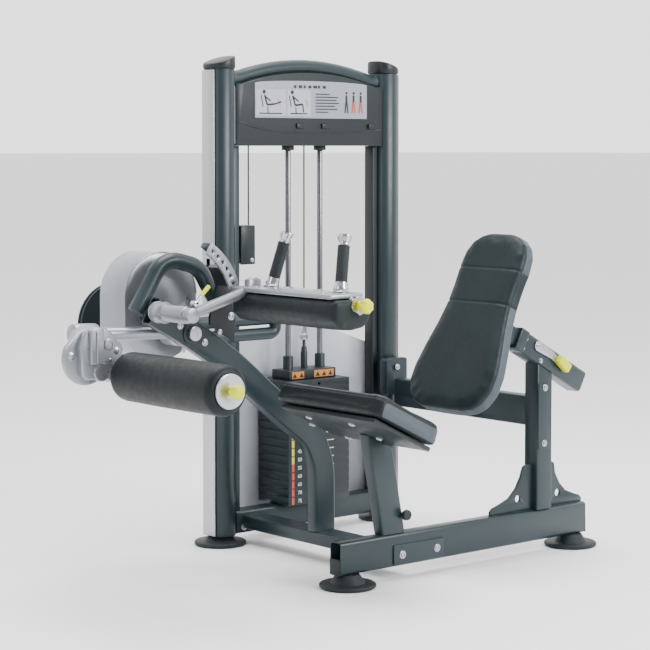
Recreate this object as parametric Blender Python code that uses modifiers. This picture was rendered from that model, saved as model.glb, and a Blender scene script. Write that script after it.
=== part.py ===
# Seated leg machine with a selectorised weight stack.
# +X runs from the roller toward the back rest, +Y toward the weight tower, +Z is up.
# The user sits on the seat facing -X. All lengths are metres.
import math

import bmesh
import bpy
import numpy as np
from mathutils import Matrix, Vector

# ---- driving dimensions ----
gap = 0.0004
center_shift = 0.016

# tower
tower_y = 0.440
left_upright_x = -0.020
right_upright_x = 0.649
upright_top = 1.455
upright_width = 0.080
upright_depth = 0.100
upright_radius = 0.036
tube_wall = 0.003
head_bottom = 1.222
arch_radius = 0.024
guide_rod_spacing = 0.130
guide_rod_radius = 0.009
tower_beam_bottom = 0.030
tower_beam_top = 0.100

# base
foot_radius = 0.080
foot_height = 0.030
seat_y = -0.265
seat_beam_front = -0.158
rear_post_x = right_upright_x - 0.004  # the cross tube runs straight from the post to this upright
seat_beam_rear = rear_post_x + 0.187
seat_beam_bottom = 0.038
seat_beam_top = 0.132
seat_beam_depth = 0.046
front_foot_x = -0.114
rear_foot_x = rear_post_x + 0.144
cross_beam_x = 0.085
cross_beam_bottom = 0.045
cross_beam_top = 0.085

# main arm and the lever
arm_y = 0.080
arm_width = 0.080
arm_depth = 0.040
pivot_x = -0.405
pivot_z = 0.700
axle_radius = 0.014
lever_y = 0.130
lever_reach = 0.300
roller_x = -0.668
roller_z = 0.607
roller_radius = 0.066
roller_near = -0.450
roller_far = -0.005
cam_radius = 0.118
cable_radius = 0.0025

# thigh pad
sleeve_x = -0.527
sleeve_z = 0.767
thigh_center_x = -0.290
thigh_width = 0.130
thigh_far = -0.046
thigh_near = -0.494
thigh_plate_bottom = 0.822
thigh_plate_top = 0.835
grip_x = -0.270
grip_spacing = 0.290

# seat and back pad
seat_front_x = -0.185
seat_front_z = 0.571
seat_tilt = math.radians(26)
seat_length = 0.268
seat_width = 0.452
seat_thickness = 0.066
rear_post_top = 0.612
adjuster_slope = math.radians(28.5)
adjuster_x = rear_post_x - 0.115
adjuster_z = 0.655
adjuster_length = 0.318
back_slope = math.radians(63.5)
back_low_x = adjuster_x - 0.304
back_low_z = 0.468
back_length = 0.569
back_thickness = 0.060

# weight stack
stack_width = 0.250
stack_depth = 0.150
stack_bottom = 0.1025
plate_pitch = 0.0258
rest_plates = 12
lifted_plates = 3

tower_x = (left_upright_x + right_upright_x) / 2
stack_top = stack_bottom + plate_pitch * (rest_plates + lifted_plates)
top_plate_height = 0.030
pulley_radius = 0.045
pulley_z = 1.300


# ---- scene ----
for old in list(bpy.data.objects):
    bpy.data.objects.remove(old, do_unlink=True)

parts = bpy.data.collections.new("parts")
cutters = bpy.data.collections.new("cutters")
bpy.context.scene.collection.children.link(parts)
bpy.context.scene.collection.children.link(cutters)
cutters.hide_render = True


def material(name, color, metallic, roughness):
    made = bpy.data.materials.new(name)
    made.use_nodes = True
    shader = made.node_tree.nodes["Principled BSDF"]
    shader.inputs["Base Color"].default_value = (*color, 1)
    shader.inputs["Metallic"].default_value = metallic
    shader.inputs["Roughness"].default_value = roughness
    made.diffuse_color = (*color, 1)
    return made


frame_paint = material("frame_paint", (0.055, 0.072, 0.080), 0.0, 0.35)
silver_paint = material("silver_paint", (0.50, 0.51, 0.53), 0.3, 0.35)
aluminium = material("aluminium", (0.72, 0.73, 0.75), 1.0, 0.3)
chrome = material("chrome", (0.80, 0.81, 0.83), 1.0, 0.12)
black_vinyl = material("black_vinyl", (0.022, 0.028, 0.030), 0.0, 0.5)
grey_panel = material("grey_panel", (0.16, 0.19, 0.21), 0.0, 0.5)
yellow_plastic = material("yellow_plastic", (0.80, 0.82, 0.06), 0.0, 0.35)
black_rubber = material("black_rubber", (0.02, 0.022, 0.024), 0.0, 0.7)
black_steel = material("black_steel", (0.03, 0.034, 0.038), 0.2, 0.45)
shroud_grey = material("shroud_grey", (0.55, 0.57, 0.61), 0.0, 0.4)
placard_grey = material("placard_grey", (0.50, 0.51, 0.51), 0.0, 0.4)
steel_cable = material("steel_cable", (0.10, 0.11, 0.12), 0.3, 0.5)


def keep(obj, name, finish=None):
    for group in list(obj.users_collection):
        group.objects.unlink(obj)
    parts.objects.link(obj)
    obj.name = name
    obj.data.name = name
    if finish:
        obj.data.materials.clear()
        obj.data.materials.append(finish)
    return obj


def cutter(obj, name):
    for group in list(obj.users_collection):
        group.objects.unlink(obj)
    cutters.objects.link(obj)
    obj.name = name
    obj.hide_render = True
    obj.display_type = "WIRE"
    return obj


def mesh_from_bmesh(shape, name):
    data = bpy.data.meshes.new(name)
    shape.to_mesh(data)
    shape.free()
    obj = bpy.data.objects.new(name, data)
    bpy.context.scene.collection.objects.link(obj)
    return obj


def baked(obj, merge=0.000001):
    """The object's evaluated mesh as a new object, with close points merged."""
    bpy.context.view_layer.update()
    graph = bpy.context.evaluated_depsgraph_get()
    data = bpy.data.meshes.new_from_object(obj.evaluated_get(graph))
    shape = bmesh.new()
    shape.from_mesh(data)
    shape.transform(obj.matrix_world)
    bmesh.ops.remove_doubles(shape, verts=shape.verts, dist=merge)
    bmesh.ops.recalc_face_normals(shape, faces=shape.faces)
    bpy.data.meshes.remove(data)
    bpy.data.objects.remove(obj, do_unlink=True)
    return mesh_from_bmesh(shape, "baked")


turns = {
    "X": Matrix(((0, 0, 1, 0), (1, 0, 0, 0), (0, 1, 0, 0), (0, 0, 0, 1))),
    "Y": Matrix(((1, 0, 0, 0), (0, 0, -1, 0), (0, 1, 0, 0), (0, 0, 0, 1))),
    "Z": Matrix.Identity(4),
}


def slab_of(loop, axis, start, end):
    """One outline as a face, extruded from start to end."""
    shape = bmesh.new()
    rows = [shape.verts.new((u, v, start)) for u, v in loop]
    face = shape.faces.new(rows)
    raised = bmesh.ops.extrude_face_region(shape, geom=[face])
    lifted_rows = [item for item in raised["geom"] if isinstance(item, bmesh.types.BMVert)]
    bmesh.ops.translate(shape, verts=lifted_rows, vec=(0, 0, end - start))
    bmesh.ops.recalc_face_normals(shape, faces=shape.faces)
    if axis == "Y":
        for vert in shape.verts:
            vert.co.z = -vert.co.z
        bmesh.ops.reverse_faces(shape, faces=shape.faces)
    shape.transform(turns[axis])
    return mesh_from_bmesh(shape, "slab")


def extruded(loops, axis, start, end):
    """Closed outlines, holes after the outer one, extruded from start to end along an axis."""
    if len(loops) == 1:
        return slab_of(loops[0], axis, start, end)
    data = bpy.data.curves.new("outline", "CURVE")
    data.dimensions = "2D"
    data.fill_mode = "BOTH"
    data.extrude = abs(end - start) / 2
    for loop in loops:
        spline = data.splines.new("POLY")
        spline.points.add(len(loop) - 1)
        for point, (u, v) in zip(spline.points, loop):
            point.co = (u, v, 0, 1)
        spline.use_cyclic_u = True
    obj = bpy.data.objects.new("outline", data)
    bpy.context.scene.collection.objects.link(obj)
    middle = (start + end) / 2
    shift = {"X": (middle, 0, 0), "Y": (0, middle, 0), "Z": (0, 0, middle)}[axis]
    obj.matrix_world = Matrix.Translation(shift) @ turns[axis]
    return baked(obj)


def rounded_rect(cu, cv, width, height, radius, steps=4):
    points = []
    half_w = width / 2 - radius
    half_h = height / 2 - radius
    for corner, (su, sv) in enumerate(((1, 1), (-1, 1), (-1, -1), (1, -1))):
        for step in range(steps + 1):
            angle = math.radians(90 * corner + 90 * step / steps)
            u = cu + su * half_w + radius * math.cos(angle)
            v = cv + sv * half_h + radius * math.sin(angle)
            points.append((u, v))
    return points


def circle(cu, cv, radius, steps=24):
    angles = np.linspace(0, 2 * math.pi, steps, endpoint=False)
    return [(cu + radius * math.cos(a), cv + radius * math.sin(a)) for a in angles]


def hollow(cu, cv, width, height, radius, axis, start, end, wall=tube_wall):
    outer = rounded_rect(cu, cv, width, height, radius)
    inner = rounded_rect(cu, cv, width - 2 * wall, height - 2 * wall, max(radius - wall, 0.001))
    return extruded([outer, inner], axis, start, end)


def rod(start, end, radius, steps=20):
    a = Vector(start)
    b = Vector(end)
    bpy.ops.mesh.primitive_cylinder_add(
        vertices=steps, radius=radius, depth=(b - a).length, end_fill_type="NGON"
    )
    obj = bpy.context.object
    turn = (b - a).to_track_quat("Z", "Y").to_matrix().to_4x4()
    obj.data.transform(Matrix.Translation((a + b) / 2) @ turn)
    return obj


def box(x0, x1, y0, y1, z0, z1, bevel=0.0):
    bpy.ops.mesh.primitive_cube_add(size=1)
    obj = bpy.context.object
    size = Matrix.Diagonal((x1 - x0, y1 - y0, z1 - z0, 1))
    middle = Matrix.Translation(((x0 + x1) / 2, (y0 + y1) / 2, (z0 + z1) / 2))
    obj.data.transform(middle @ size)
    if bevel:
        rounding = obj.modifiers.new("rounding", "BEVEL")
        rounding.width = bevel
        rounding.segments = 2
    return obj


def turned(profile, place, axis, steps=24):
    """A (radius, height) profile turned with Screw about a line through place along axis."""
    shape = bmesh.new()
    rows = [shape.verts.new((radius, 0, height)) for radius, height in profile]
    for a, b in zip(rows, rows[1:]):
        shape.edges.new((a, b))
    obj = mesh_from_bmesh(shape, "profile")
    screw = obj.modifiers.new("screw", "SCREW")
    screw.axis = "Z"
    screw.steps = steps
    screw.render_steps = steps
    screw.use_merge_vertices = True
    screw.merge_threshold = 0.00001
    turn = Vector(axis).to_track_quat("Z", "Y").to_matrix().to_4x4()
    obj.matrix_world = Matrix.Translation(place) @ turn
    return baked(obj)


def smooth_path(corners, radius, steps=6):
    """Straight runs through the corners, each turned with an arc of this radius."""
    points = [Vector(corners[0])]
    for before, here, after in zip(corners, corners[1:], corners[2:]):
        here = Vector(here)
        into = (Vector(before) - here).normalized()
        out = (Vector(after) - here).normalized()
        half = into.angle(out) / 2
        back = min(radius / math.tan(half), 0.49 * (Vector(after) - here).length)
        back = min(back, 0.49 * (Vector(before) - here).length)
        middle = here + (into + out).normalized() * (back / math.cos(half))
        arc = back * math.tan(half)
        first = here + into * back - middle
        last = here + out * back - middle
        for step in range(steps + 1):
            points.append(middle + first.slerp(last, step / steps).normalized() * arc)
    points.append(Vector(corners[-1]))
    return points


def swept(path, section, wall=0.0):
    """A closed section swept along a path, by a curve with a bevel object."""
    rail = bpy.data.curves.new("rail", "CURVE")
    rail.dimensions = "3D"
    rail.twist_mode = "MINIMUM"
    rail.use_fill_caps = wall == 0
    spline = rail.splines.new("POLY")
    spline.points.add(len(path) - 1)
    for point, place in zip(spline.points, path):
        point.co = (*place, 1)
    ring = bpy.data.curves.new("ring", "CURVE")
    ring.dimensions = "2D"
    loop = ring.splines.new("POLY")
    loop.points.add(len(section) - 1)
    for point, (u, v) in zip(loop.points, section):
        point.co = (u, v, 0, 1)
    loop.use_cyclic_u = True
    ring_object = bpy.data.objects.new("ring", ring)
    bpy.context.scene.collection.objects.link(ring_object)
    rail.bevel_mode = "OBJECT"
    rail.bevel_object = ring_object
    obj = bpy.data.objects.new("rail", rail)
    bpy.context.scene.collection.objects.link(obj)
    made = baked(obj)
    bpy.data.objects.remove(ring_object, do_unlink=True)
    if wall:
        shell = made.modifiers.new("wall", "SOLIDIFY")
        shell.thickness = wall
        shell.offset = -1
        made = baked(made)
    return made


def combine(obj, other, operation, name="cut"):
    """A Boolean of two solids, with the other one kept in the cutters collection."""
    cutter(other, name)
    change = obj.modifiers.new(name, "BOOLEAN")
    change.operation = operation
    change.solver = "EXACT"
    change.object = other
    return obj


def pivot(name, place, members):
    """An empty on a joint's axis, with the pieces that turn or slide about it."""
    empty = bpy.data.objects.new(name, None)
    empty.location = place
    empty.empty_display_size = 0.05
    parts.objects.link(empty)
    bpy.context.view_layer.update()
    for member in members:
        member.parent = empty
        member.matrix_parent_inverse = empty.matrix_world.inverted()
    return empty


# ---- feet ----
foot_profile = [
    (0, 0),
    (foot_radius - 0.004, 0),
    (foot_radius, 0.004),
    (foot_radius, 0.010),
    (foot_radius - 0.004, 0.013),
    (foot_radius * 0.62, 0.013),
    (foot_radius * 0.42, foot_height - gap),
    (0, foot_height - gap),
]
beam_foot_profile = foot_profile[:-2] + [
    (foot_radius * 0.42, seat_beam_bottom - gap),
    (0, seat_beam_bottom - gap),
]
keep(turned(foot_profile, (left_upright_x, tower_y, 0), (0, 0, 1)), "foot_tower_left", black_rubber)
keep(turned(foot_profile, (right_upright_x, tower_y, 0), (0, 0, 1)), "foot_tower_right", black_rubber)
keep(turned(beam_foot_profile, (front_foot_x, seat_y, 0), (0, 0, 1)), "foot_seat_front", black_rubber)
keep(turned(beam_foot_profile, (rear_foot_x, seat_y, 0), (0, 0, 1)), "foot_seat_rear", black_rubber)

# ---- tower uprights with their bright strips and sloping caps ----
cable_z = 0.876
cam_tangent_z = pivot_z + cam_radius
for side, x, outward in (("left", left_upright_x, -1), ("right", right_upright_x, 1)):
    upright = hollow(x, tower_y, upright_width, upright_depth, upright_radius, "Z", foot_height, upright_top)
    if side == "left":
        slot_top = box(x - 0.06, x + 0.06, tower_y - 0.009, tower_y + 0.009, 0.835, 0.895)
        combine(upright, slot_top, "DIFFERENCE", "cable_slot")
    keep(upright, f"upright_{side}", frame_paint)
    face = x + outward * (upright_width / 2 + gap)
    strip = box(
        min(face, face + outward * 0.0035), max(face, face + outward * 0.0035),
        tower_y - 0.030, tower_y + 0.030, foot_height + 0.002, upright_top - 0.004, 0.001,
    )
    if side == "left":
        strip_slot = box(x - 0.06, x, tower_y - 0.009, tower_y + 0.009, 0.815, 0.880)
        combine(strip, strip_slot, "DIFFERENCE", "strip_slot")
    keep(strip, f"upright_strip_{side}", aluminium)
    rim = rounded_rect(x, tower_y, upright_width + 0.004, upright_depth + 0.004, upright_radius + 0.002)
    cap = extruded([rim], "Z", upright_top + gap, upright_top + 0.060)
    low = upright_top + 0.012
    high = upright_top + 0.045
    edge = x + outward * (upright_width / 2 + 0.01)
    inner = x - outward * (upright_width / 2 + 0.01)
    wedge = [(edge, low), (inner, high), (inner, high + 0.1), (edge, high + 0.1)]
    if outward > 0:
        wedge.reverse()
    combine(cap, extruded([wedge], "Y", tower_y - 0.1, tower_y + 0.1), "DIFFERENCE", "cap_slope")
    soft = cap.modifiers.new("soft", "BEVEL")
    soft.width = 0.004
    soft.segments = 2
    soft.angle_limit = math.radians(50)
    keep(cap, f"upright_cap_{side}", black_steel)

inner_left = left_upright_x + upright_width / 2
inner_right = right_upright_x - upright_width / 2

# ---- tower base beam, head panel, arch and placard ----
beam_middle_z = (tower_beam_bottom + tower_beam_top) / 2
tower_beam = hollow(
    tower_y, beam_middle_z, 0.060, tower_beam_top - tower_beam_bottom, 0.008,
    "X", inner_left + gap, inner_right - gap,
)
keep(tower_beam, "tower_base_beam", frame_paint)

arch_low = 1.420
arch_rise = 0.048
bow_x = np.linspace(inner_left + 0.0265, inner_right - 0.0265, 13)
bow_half = (inner_right - inner_left) / 2
bow = [(x, tower_y, arch_low + arch_rise * (1 - ((x - tower_x) / bow_half) ** 2)) for x in bow_x]
arch_ends = [(inner_left + gap, tower_y, bow[0][2]), (inner_right - gap, tower_y, bow[-1][2])]
arch_path = arch_ends[:1] + bow + arch_ends[1:]
arch = swept([Vector(p) for p in arch_path], circle(0, 0, arch_radius, 16))
keep(arch, "head_arch", frame_paint)

panel_front = tower_y - 0.038
panel_thickness = 0.006
# the sheet reaches past the inner faces, up to the rounding of the uprights
rounding_depth = tower_y - upright_depth / 2 + upright_radius - panel_front - panel_thickness
panel_reach = upright_radius - math.sqrt(upright_radius ** 2 - rounding_depth ** 2) - gap
panel_left = inner_left - panel_reach
panel_right = inner_right + panel_reach
panel_edge = [(x, z - arch_radius + 0.006) for x, _, z in bow]
panel_loop = (
    [(panel_left, head_bottom + 0.006), (panel_left + 0.006, head_bottom)]
    + [(panel_right - 0.006, head_bottom), (panel_right, head_bottom + 0.006)]
    + [(panel_right, panel_edge[-1][1])]
    + panel_edge[::-1]
    + [(panel_left, panel_edge[0][1])]
)
head_panel = extruded([panel_loop[::-1]], "Y", panel_front, panel_front + panel_thickness)
shelf = box(inner_left + 0.016, inner_right - 0.016, panel_front + 0.004, tower_y + 0.040,
            head_bottom, head_bottom + 0.006)
for x in (tower_x - guide_rod_spacing / 2, tower_x + guide_rod_spacing / 2, tower_x):
    hole = rod((x, tower_y, head_bottom - 0.02), (x, tower_y, head_bottom + 0.03), 0.013, 16)
    combine(shelf, hole, "DIFFERENCE", "rod_hole")
side_cable_hole = rod((0.092, tower_y, head_bottom - 0.02), (0.092, tower_y, head_bottom + 0.03), 0.010, 12)
combine(shelf, side_cable_hole, "DIFFERENCE", "cable_hole")
shelf = baked(shelf)
combine(head_panel, shelf, "UNION", "head_shelf")
keep(head_panel, "head_panel", frame_paint)

placard_half = 0.228
placard_bottom = arch_low - 0.112
placard_shoulder = arch_low - 0.006
placard_rise = 0.010
placard_top = [
    (tower_x + placard_half * t, placard_shoulder + placard_rise * (1 - t * t)) for t in np.linspace(1, -1, 9)
]
placard_loop = [(tower_x - placard_half, placard_bottom), (tower_x + placard_half, placard_bottom)]
placard_loop += placard_top
placard = extruded([placard_loop], "Y", panel_front - 0.0032, panel_front - gap)
keep(placard, "placard", placard_grey)

# ---- inner rails, guide rods and rear shroud ----
rail_depth = 0.040
rail_width = 0.022
left_rail = hollow(
    inner_left + gap + rail_width / 2, tower_y, rail_width, rail_depth, 0.003,
    "Z", tower_beam_top + gap, head_bottom - gap, 0.002,
)
rail_slot = box(inner_left - 0.01, inner_left + 0.04, tower_y - 0.009, tower_y + 0.009, 0.840, 0.900)
combine(left_rail, rail_slot, "DIFFERENCE", "rail_slot")
keep(left_rail, "inner_rail_left", frame_paint)
right_rail = hollow(
    inner_right - gap - rail_width / 2, tower_y, rail_width, rail_depth, 0.003,
    "Z", tower_beam_top + gap, head_bottom - gap, 0.002,
)
keep(right_rail, "inner_rail_right", frame_paint)
for side, x in (("left", tower_x - guide_rod_spacing / 2), ("right", tower_x + guide_rod_spacing / 2)):
    guide = rod((x, tower_y, tower_beam_top + gap), (x, tower_y, head_bottom + 0.020), guide_rod_radius)
    keep(guide, f"guide_rod_{side}", chrome)

shroud = bmesh.new()
shroud_columns = []
for t in np.linspace(-1, 1, 17):
    x = tower_x + t * (bow_half - 0.006)
    y = tower_y + 0.030 + 0.056 * (1 - t ** 4)
    top = 0.655 - 0.072 * t * t
    shroud_columns.append([shroud.verts.new((x, y, z)) for z in np.linspace(0.075, top, 3)])
for left_column, right_column in zip(shroud_columns, shroud_columns[1:]):
    for low in range(2):
        shroud.faces.new((left_column[low], right_column[low], right_column[low + 1], left_column[low + 1]))
shroud = mesh_from_bmesh(shroud, "shroud")
shroud_wall = shroud.modifiers.new("wall", "SOLIDIFY")
shroud_wall.thickness = 0.003
keep(shroud, "rear_shroud", shroud_grey)

# ---- base beams ----
cross_far = tower_y - 0.030 - gap
cross_near = seat_y + seat_beam_depth / 2 + gap
cross_middle_z = (cross_beam_bottom + cross_beam_top) / 2
cross_beam = hollow(
    cross_beam_x, cross_middle_z, 0.080, cross_beam_top - cross_beam_bottom, 0.006,
    "Y", cross_near, cross_far,
)
keep(cross_beam, "cross_beam", frame_paint)
seat_beam_z = (seat_beam_bottom + seat_beam_top) / 2
seat_beam = hollow(
    seat_y, seat_beam_z, seat_beam_depth, seat_beam_top - seat_beam_bottom, 0.010,
    "X", seat_beam_front, seat_beam_rear,
)
keep(seat_beam, "seat_beam", frame_paint)

# ---- main arm: rises from the cross beam and curves forward to the lever pivot ----
arm_points = [
    (cross_beam_x - 0.004, 0.0855), (cross_beam_x - 0.004, 0.200), (0.078, 0.270), (0.062, 0.325),
    (0.029, 0.377), (-0.045, 0.434), (-0.145, 0.512), (-0.265, 0.609), (pivot_x, pivot_z), (-0.530, 0.769),
]


def spline_through(points, steps):
    """Catmull-Rom points through each given point."""
    ends = [points[0]] + list(points) + [points[-1]]
    made = []
    for i in range(1, len(ends) - 2):
        p0, p1, p2, p3 = (np.array(ends[j], float) for j in (i - 1, i, i + 1, i + 2))
        for t in np.linspace(0, 1, steps, endpoint=False):
            made.append(
                0.5 * (2 * p1 + (p2 - p0) * t + (2 * p0 - 5 * p1 + 4 * p2 - p3) * t * t
                       + (3 * p1 - p0 - 3 * p2 + p3) * t ** 3)
            )
    made.append(np.array(points[-1], float))
    return made


arm_line = spline_through(arm_points, 3)
arm_line = [Vector((x, arm_y, z)) for x, z in arm_line]
arm = swept(arm_line, rounded_rect(0, 0, arm_depth, arm_width, 0.008, 3), tube_wall)
bore = rod((pivot_x, arm_y - 0.1, pivot_z), (pivot_x, arm_y + 0.1, pivot_z), axle_radius + 0.0006, 24)
boss = extruded(
    [circle(pivot_x, pivot_z, 0.032, 24)], "Y", arm_y - arm_depth / 2 - 0.003, arm_y + arm_depth / 2 + 0.003
)
combine(arm, boss, "UNION", "arm_boss")
arm_far = arm_y + arm_depth / 2
cover_near = 0.185
bracket = box(-0.478, -0.440, arm_far - 0.0015, cover_near - gap, 0.752, 0.779)
combine(arm, bracket, "UNION", "cover_bracket")
combine(arm, bore, "DIFFERENCE", "arm_bore")
keep(arm, "main_arm", frame_paint)

# ---- cam cover with its bearing bore ----
cover_far = 0.310
cover_x = -0.4215
cover_radius = 0.1235
cover_top_z = 0.800


def cover_outline(inset):
    top = [
        (cover_x + (cover_radius - inset) * math.cos(a), cover_top_z + (cover_radius - inset) * math.sin(a))
        for a in np.linspace(0, math.pi, 17)
    ]
    low = [
        (cover_x + (cover_radius - inset) * math.cos(a), 0.710 + (cover_radius - inset) * math.sin(a) * 0.75)
        for a in np.linspace(math.pi, 2 * math.pi, 17)
    ]
    return top + low


cover = extruded([cover_outline(0)], "Y", cover_near, cover_far)
inside = extruded([cover_outline(0.003)], "Y", cover_near + 0.003, cover_far + 0.02)
combine(cover, inside, "DIFFERENCE", "cover_inside")
cover_bore = rod((pivot_x, 0.15, pivot_z), (pivot_x, 0.35, pivot_z), axle_radius + 0.001, 24)
combine(cover, cover_bore, "DIFFERENCE", "cover_bore")
keep(cover, "cam_cover", silver_paint)


# ---- bent stop bar over the pivot and the rear guard loop ----
bar_y = lever_y + 0.002
bar_corners = [
    (-0.546, bar_y, 0.762), (-0.452, bar_y, 0.912), (-0.330, bar_y, 0.880),
    (-0.262, bar_y, 0.770), (-0.225, bar_y, 0.700),
]
bar_path = smooth_path(bar_corners, 0.075, 7)
stop_bar = swept(bar_path, circle(0, 0, 0.0235, 18))
keep(stop_bar, "stop_bar", frame_paint)

loop_y = 0.232
loop_low = 0.664
loop_high = 0.708
loop_corners = [
    (-0.292, loop_y, loop_high), (0.030, loop_y, loop_high), (0.030, loop_y, loop_low),
    (-0.292, loop_y, loop_low),
]
guard_loop = swept(smooth_path(loop_corners, 0.0215, 6), circle(0, 0, 0.0185, 14))
keep(guard_loop, "guard_loop", frame_paint)

# ---- thigh angle quadrant: a dark curved wall with a light index plate on its near edge ----
quad_in = 0.188
quad_out = 0.222
quad_low = math.radians(18)
quad_high = math.radians(58)
quad_angles = np.linspace(quad_low, quad_high, 11)


def sector(inner_r, outer_r, angles):
    outer = [(sleeve_x + outer_r * math.cos(a), sleeve_z + outer_r * math.sin(a)) for a in angles]
    inner = [(sleeve_x + inner_r * math.cos(a), sleeve_z + inner_r * math.sin(a)) for a in angles[::-1]]
    return outer + inner


quad_near = -0.040
quad_wall = extruded([sector(quad_out - 0.014, quad_out, quad_angles)], "Y", quad_near + 0.0095, 0.006)
quad_root = extruded([sector(quad_out - 0.014, quad_out, quad_angles[:5])], "Y", 0.004, 0.0555)
combine(quad_wall, quad_root, "UNION", "quad_root")
web_loop = [
    (-0.352, 0.722), (-0.268, 0.668), (-0.262, 0.740), (-0.296, 0.838), (-0.318, 0.866),
    (-0.338, 0.800), (-0.352, 0.745),
]
web = extruded([web_loop], "Y", 0.0475, 0.0555)
combine(quad_wall, web, "UNION", "quad_web")
keep(quad_wall, "quadrant_wall", frame_paint)
quad_face = extruded([sector(quad_in, quad_out, quad_angles)], "Y", quad_near, quad_near + 0.009)
for step in range(6):
    a = quad_low + (quad_high - quad_low) * (0.09 + 0.164 * step)
    mid = (quad_in + quad_out) / 2
    x = sleeve_x + mid * math.cos(a)
    z = sleeve_z + mid * math.sin(a)
    hole = rod((x, quad_near - 0.02, z), (x, quad_near + 0.03, z), 0.0055, 12)
    combine(quad_face, hole, "DIFFERENCE", f"index_hole_{step}")
keep(quad_face, "quadrant_face", silver_paint)

# ---- lever: axle, hub and silver tube, with the cam wheel behind ----
shaft_near = arm_y - arm_depth / 2
cap_near = shaft_near - 0.004
hub_near = arm_far + 0.0045
hub_far = cover_near - 0.013
shaft_profile = [
    (0, cap_near - 0.012), (0.0185, cap_near - 0.012), (0.0185, cap_near - 0.003), (0.0165, cap_near),
    (axle_radius, cap_near), (axle_radius, hub_near), (0.040, hub_near), (0.040, hub_far),
    (axle_radius, hub_far), (axle_radius, tower_y + 0.026), (0, tower_y + 0.026),
]
axle = turned(shaft_profile, (pivot_x, 0, pivot_z), (0, 1, 0), 24)
lever_tube = rod((pivot_x - 0.030, lever_y, pivot_z), (pivot_x - lever_reach, lever_y, 0.710), 0.0185, 20)
combine(axle, lever_tube, "UNION", "lever_tube")
lever_arm = keep(baked(axle), "lever_arm", silver_paint)

cam_profile = [
    (axle_radius + 0.0004, -0.014), (0.030, -0.014), (0.034, -0.011), (cam_radius + 0.006, -0.011),
    (cam_radius + 0.006, -0.006), (cam_radius - cable_radius - gap, -0.0035),
    (cam_radius - cable_radius - gap, 0.0035), (cam_radius + 0.006, 0.006), (cam_radius + 0.006, 0.011),
    (0.034, 0.011), (0.030, 0.014), (axle_radius + 0.0004, 0.014), (axle_radius + 0.0004, -0.014),
]
cam_wheel = turned(cam_profile, (pivot_x, tower_y, pivot_z), (0, 1, 0), 40)
keep(cam_wheel, "cam_wheel", black_steel)

# ---- roller bracket casting, roller axle with end disc, foam and knob ----
casting_near = 0.020
casting_far = 0.108
lobes = [(-0.757, 0.657, 0.076), (-0.700, 0.668, 0.058), (roller_x - 0.012, roller_z + 0.040, 0.045)]


def hull_outline(circles):
    points = []
    for cx, cz, radius in circles:
        points += circle(cx, cz, radius, 40)
    points = sorted(set((round(a, 6), round(b, 6)) for a, b in points))

    def half(rows):
        kept = []
        for p in rows:
            while len(kept) >= 2:
                ax, az = kept[-1][0] - kept[-2][0], kept[-1][1] - kept[-2][1]
                bx, bz = p[0] - kept[-1][0], p[1] - kept[-1][1]
                if ax * bz - az * bx > 1e-9:
                    break
                kept.pop()
            kept.append(p)
        return kept[:-1]

    return half(points) + half(points[::-1])


casting = extruded([hull_outline(lobes)], "Y", casting_near + 0.012, casting_far)
ridge = extruded([rounded_rect(-0.733, 0.690, 0.046, 0.100, 0.010, 3)], "Y", casting_near, casting_far)
combine(casting, ridge, "UNION", "casting_ridge")
stub = rod((-0.790, casting_near + 0.03, 0.712), (-0.790, 0.150, 0.712), 0.026, 20)
combine(casting, stub, "UNION", "casting_stub")
socket = rod((-0.660, lever_y, 0.7093), (-0.765, lever_y, 0.7105), 0.026, 20)
combine(casting, socket, "UNION", "casting_socket")
lever_clear = rod((pivot_x, lever_y, pivot_z), (-0.7062, lever_y, 0.71004), 0.0189, 20)
combine(casting, lever_clear, "DIFFERENCE", "lever_clear")
roller_clear = rod((roller_x, -0.6, roller_z), (roller_x, 0.070, roller_z), 0.0134, 20)
combine(casting, roller_clear, "DIFFERENCE", "roller_clear")
casting = keep(baked(casting), "roller_bracket", silver_paint)

roller_axle = rod((roller_x, roller_near - 0.006, roller_z), (roller_x, 0.0692, roller_z), 0.013, 20)
end_disc = turned(
    [(0, 0), (0.044, 0), (0.045, 0.001), (0.045, 0.004), (0.040, 0.007), (0, 0.007)],
    (roller_x, roller_near - gap, roller_z), (0, -1, 0), 28,
)
combine(roller_axle, end_disc, "UNION", "end_disc")
roller_axle = keep(baked(roller_axle), "roller_axle", aluminium)
foam_half = (roller_far - roller_near) / 2
foam_profile = [(0.0136, -foam_half), (roller_radius - 0.016, -foam_half)]
foam_profile += [
    (roller_radius - 0.016 + 0.016 * math.sin(a), -foam_half + 0.016 * (1 - math.cos(a)))
    for a in np.linspace(0.3, math.pi / 2, 4)
]
foam_profile += [
    (roller_radius - 0.016 + 0.016 * math.cos(a), foam_half - 0.016 * (1 - math.sin(a)))
    for a in np.linspace(0, math.pi / 2 - 0.3, 4)
]
foam_profile += [(roller_radius - 0.016, foam_half), (0.0136, foam_half), (0.0136, -foam_half)]
roller_foam = turned(foam_profile, (roller_x, (roller_near + roller_far) / 2, roller_z), (0, 1, 0), 32)
keep(roller_foam, "roller_foam", black_vinyl)
knob_profile = [(0, 0), (0.012, 0), (0.013, 0.010), (0.020, 0.014), (0.021, 0.030), (0.017, 0.037),
    (0, 0.039)]
roller_knob = turned(knob_profile, (roller_x, roller_near - 0.0078, roller_z), (0, -1, 0), 20)
keep(roller_knob, "roller_knob", yellow_plastic)

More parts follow.
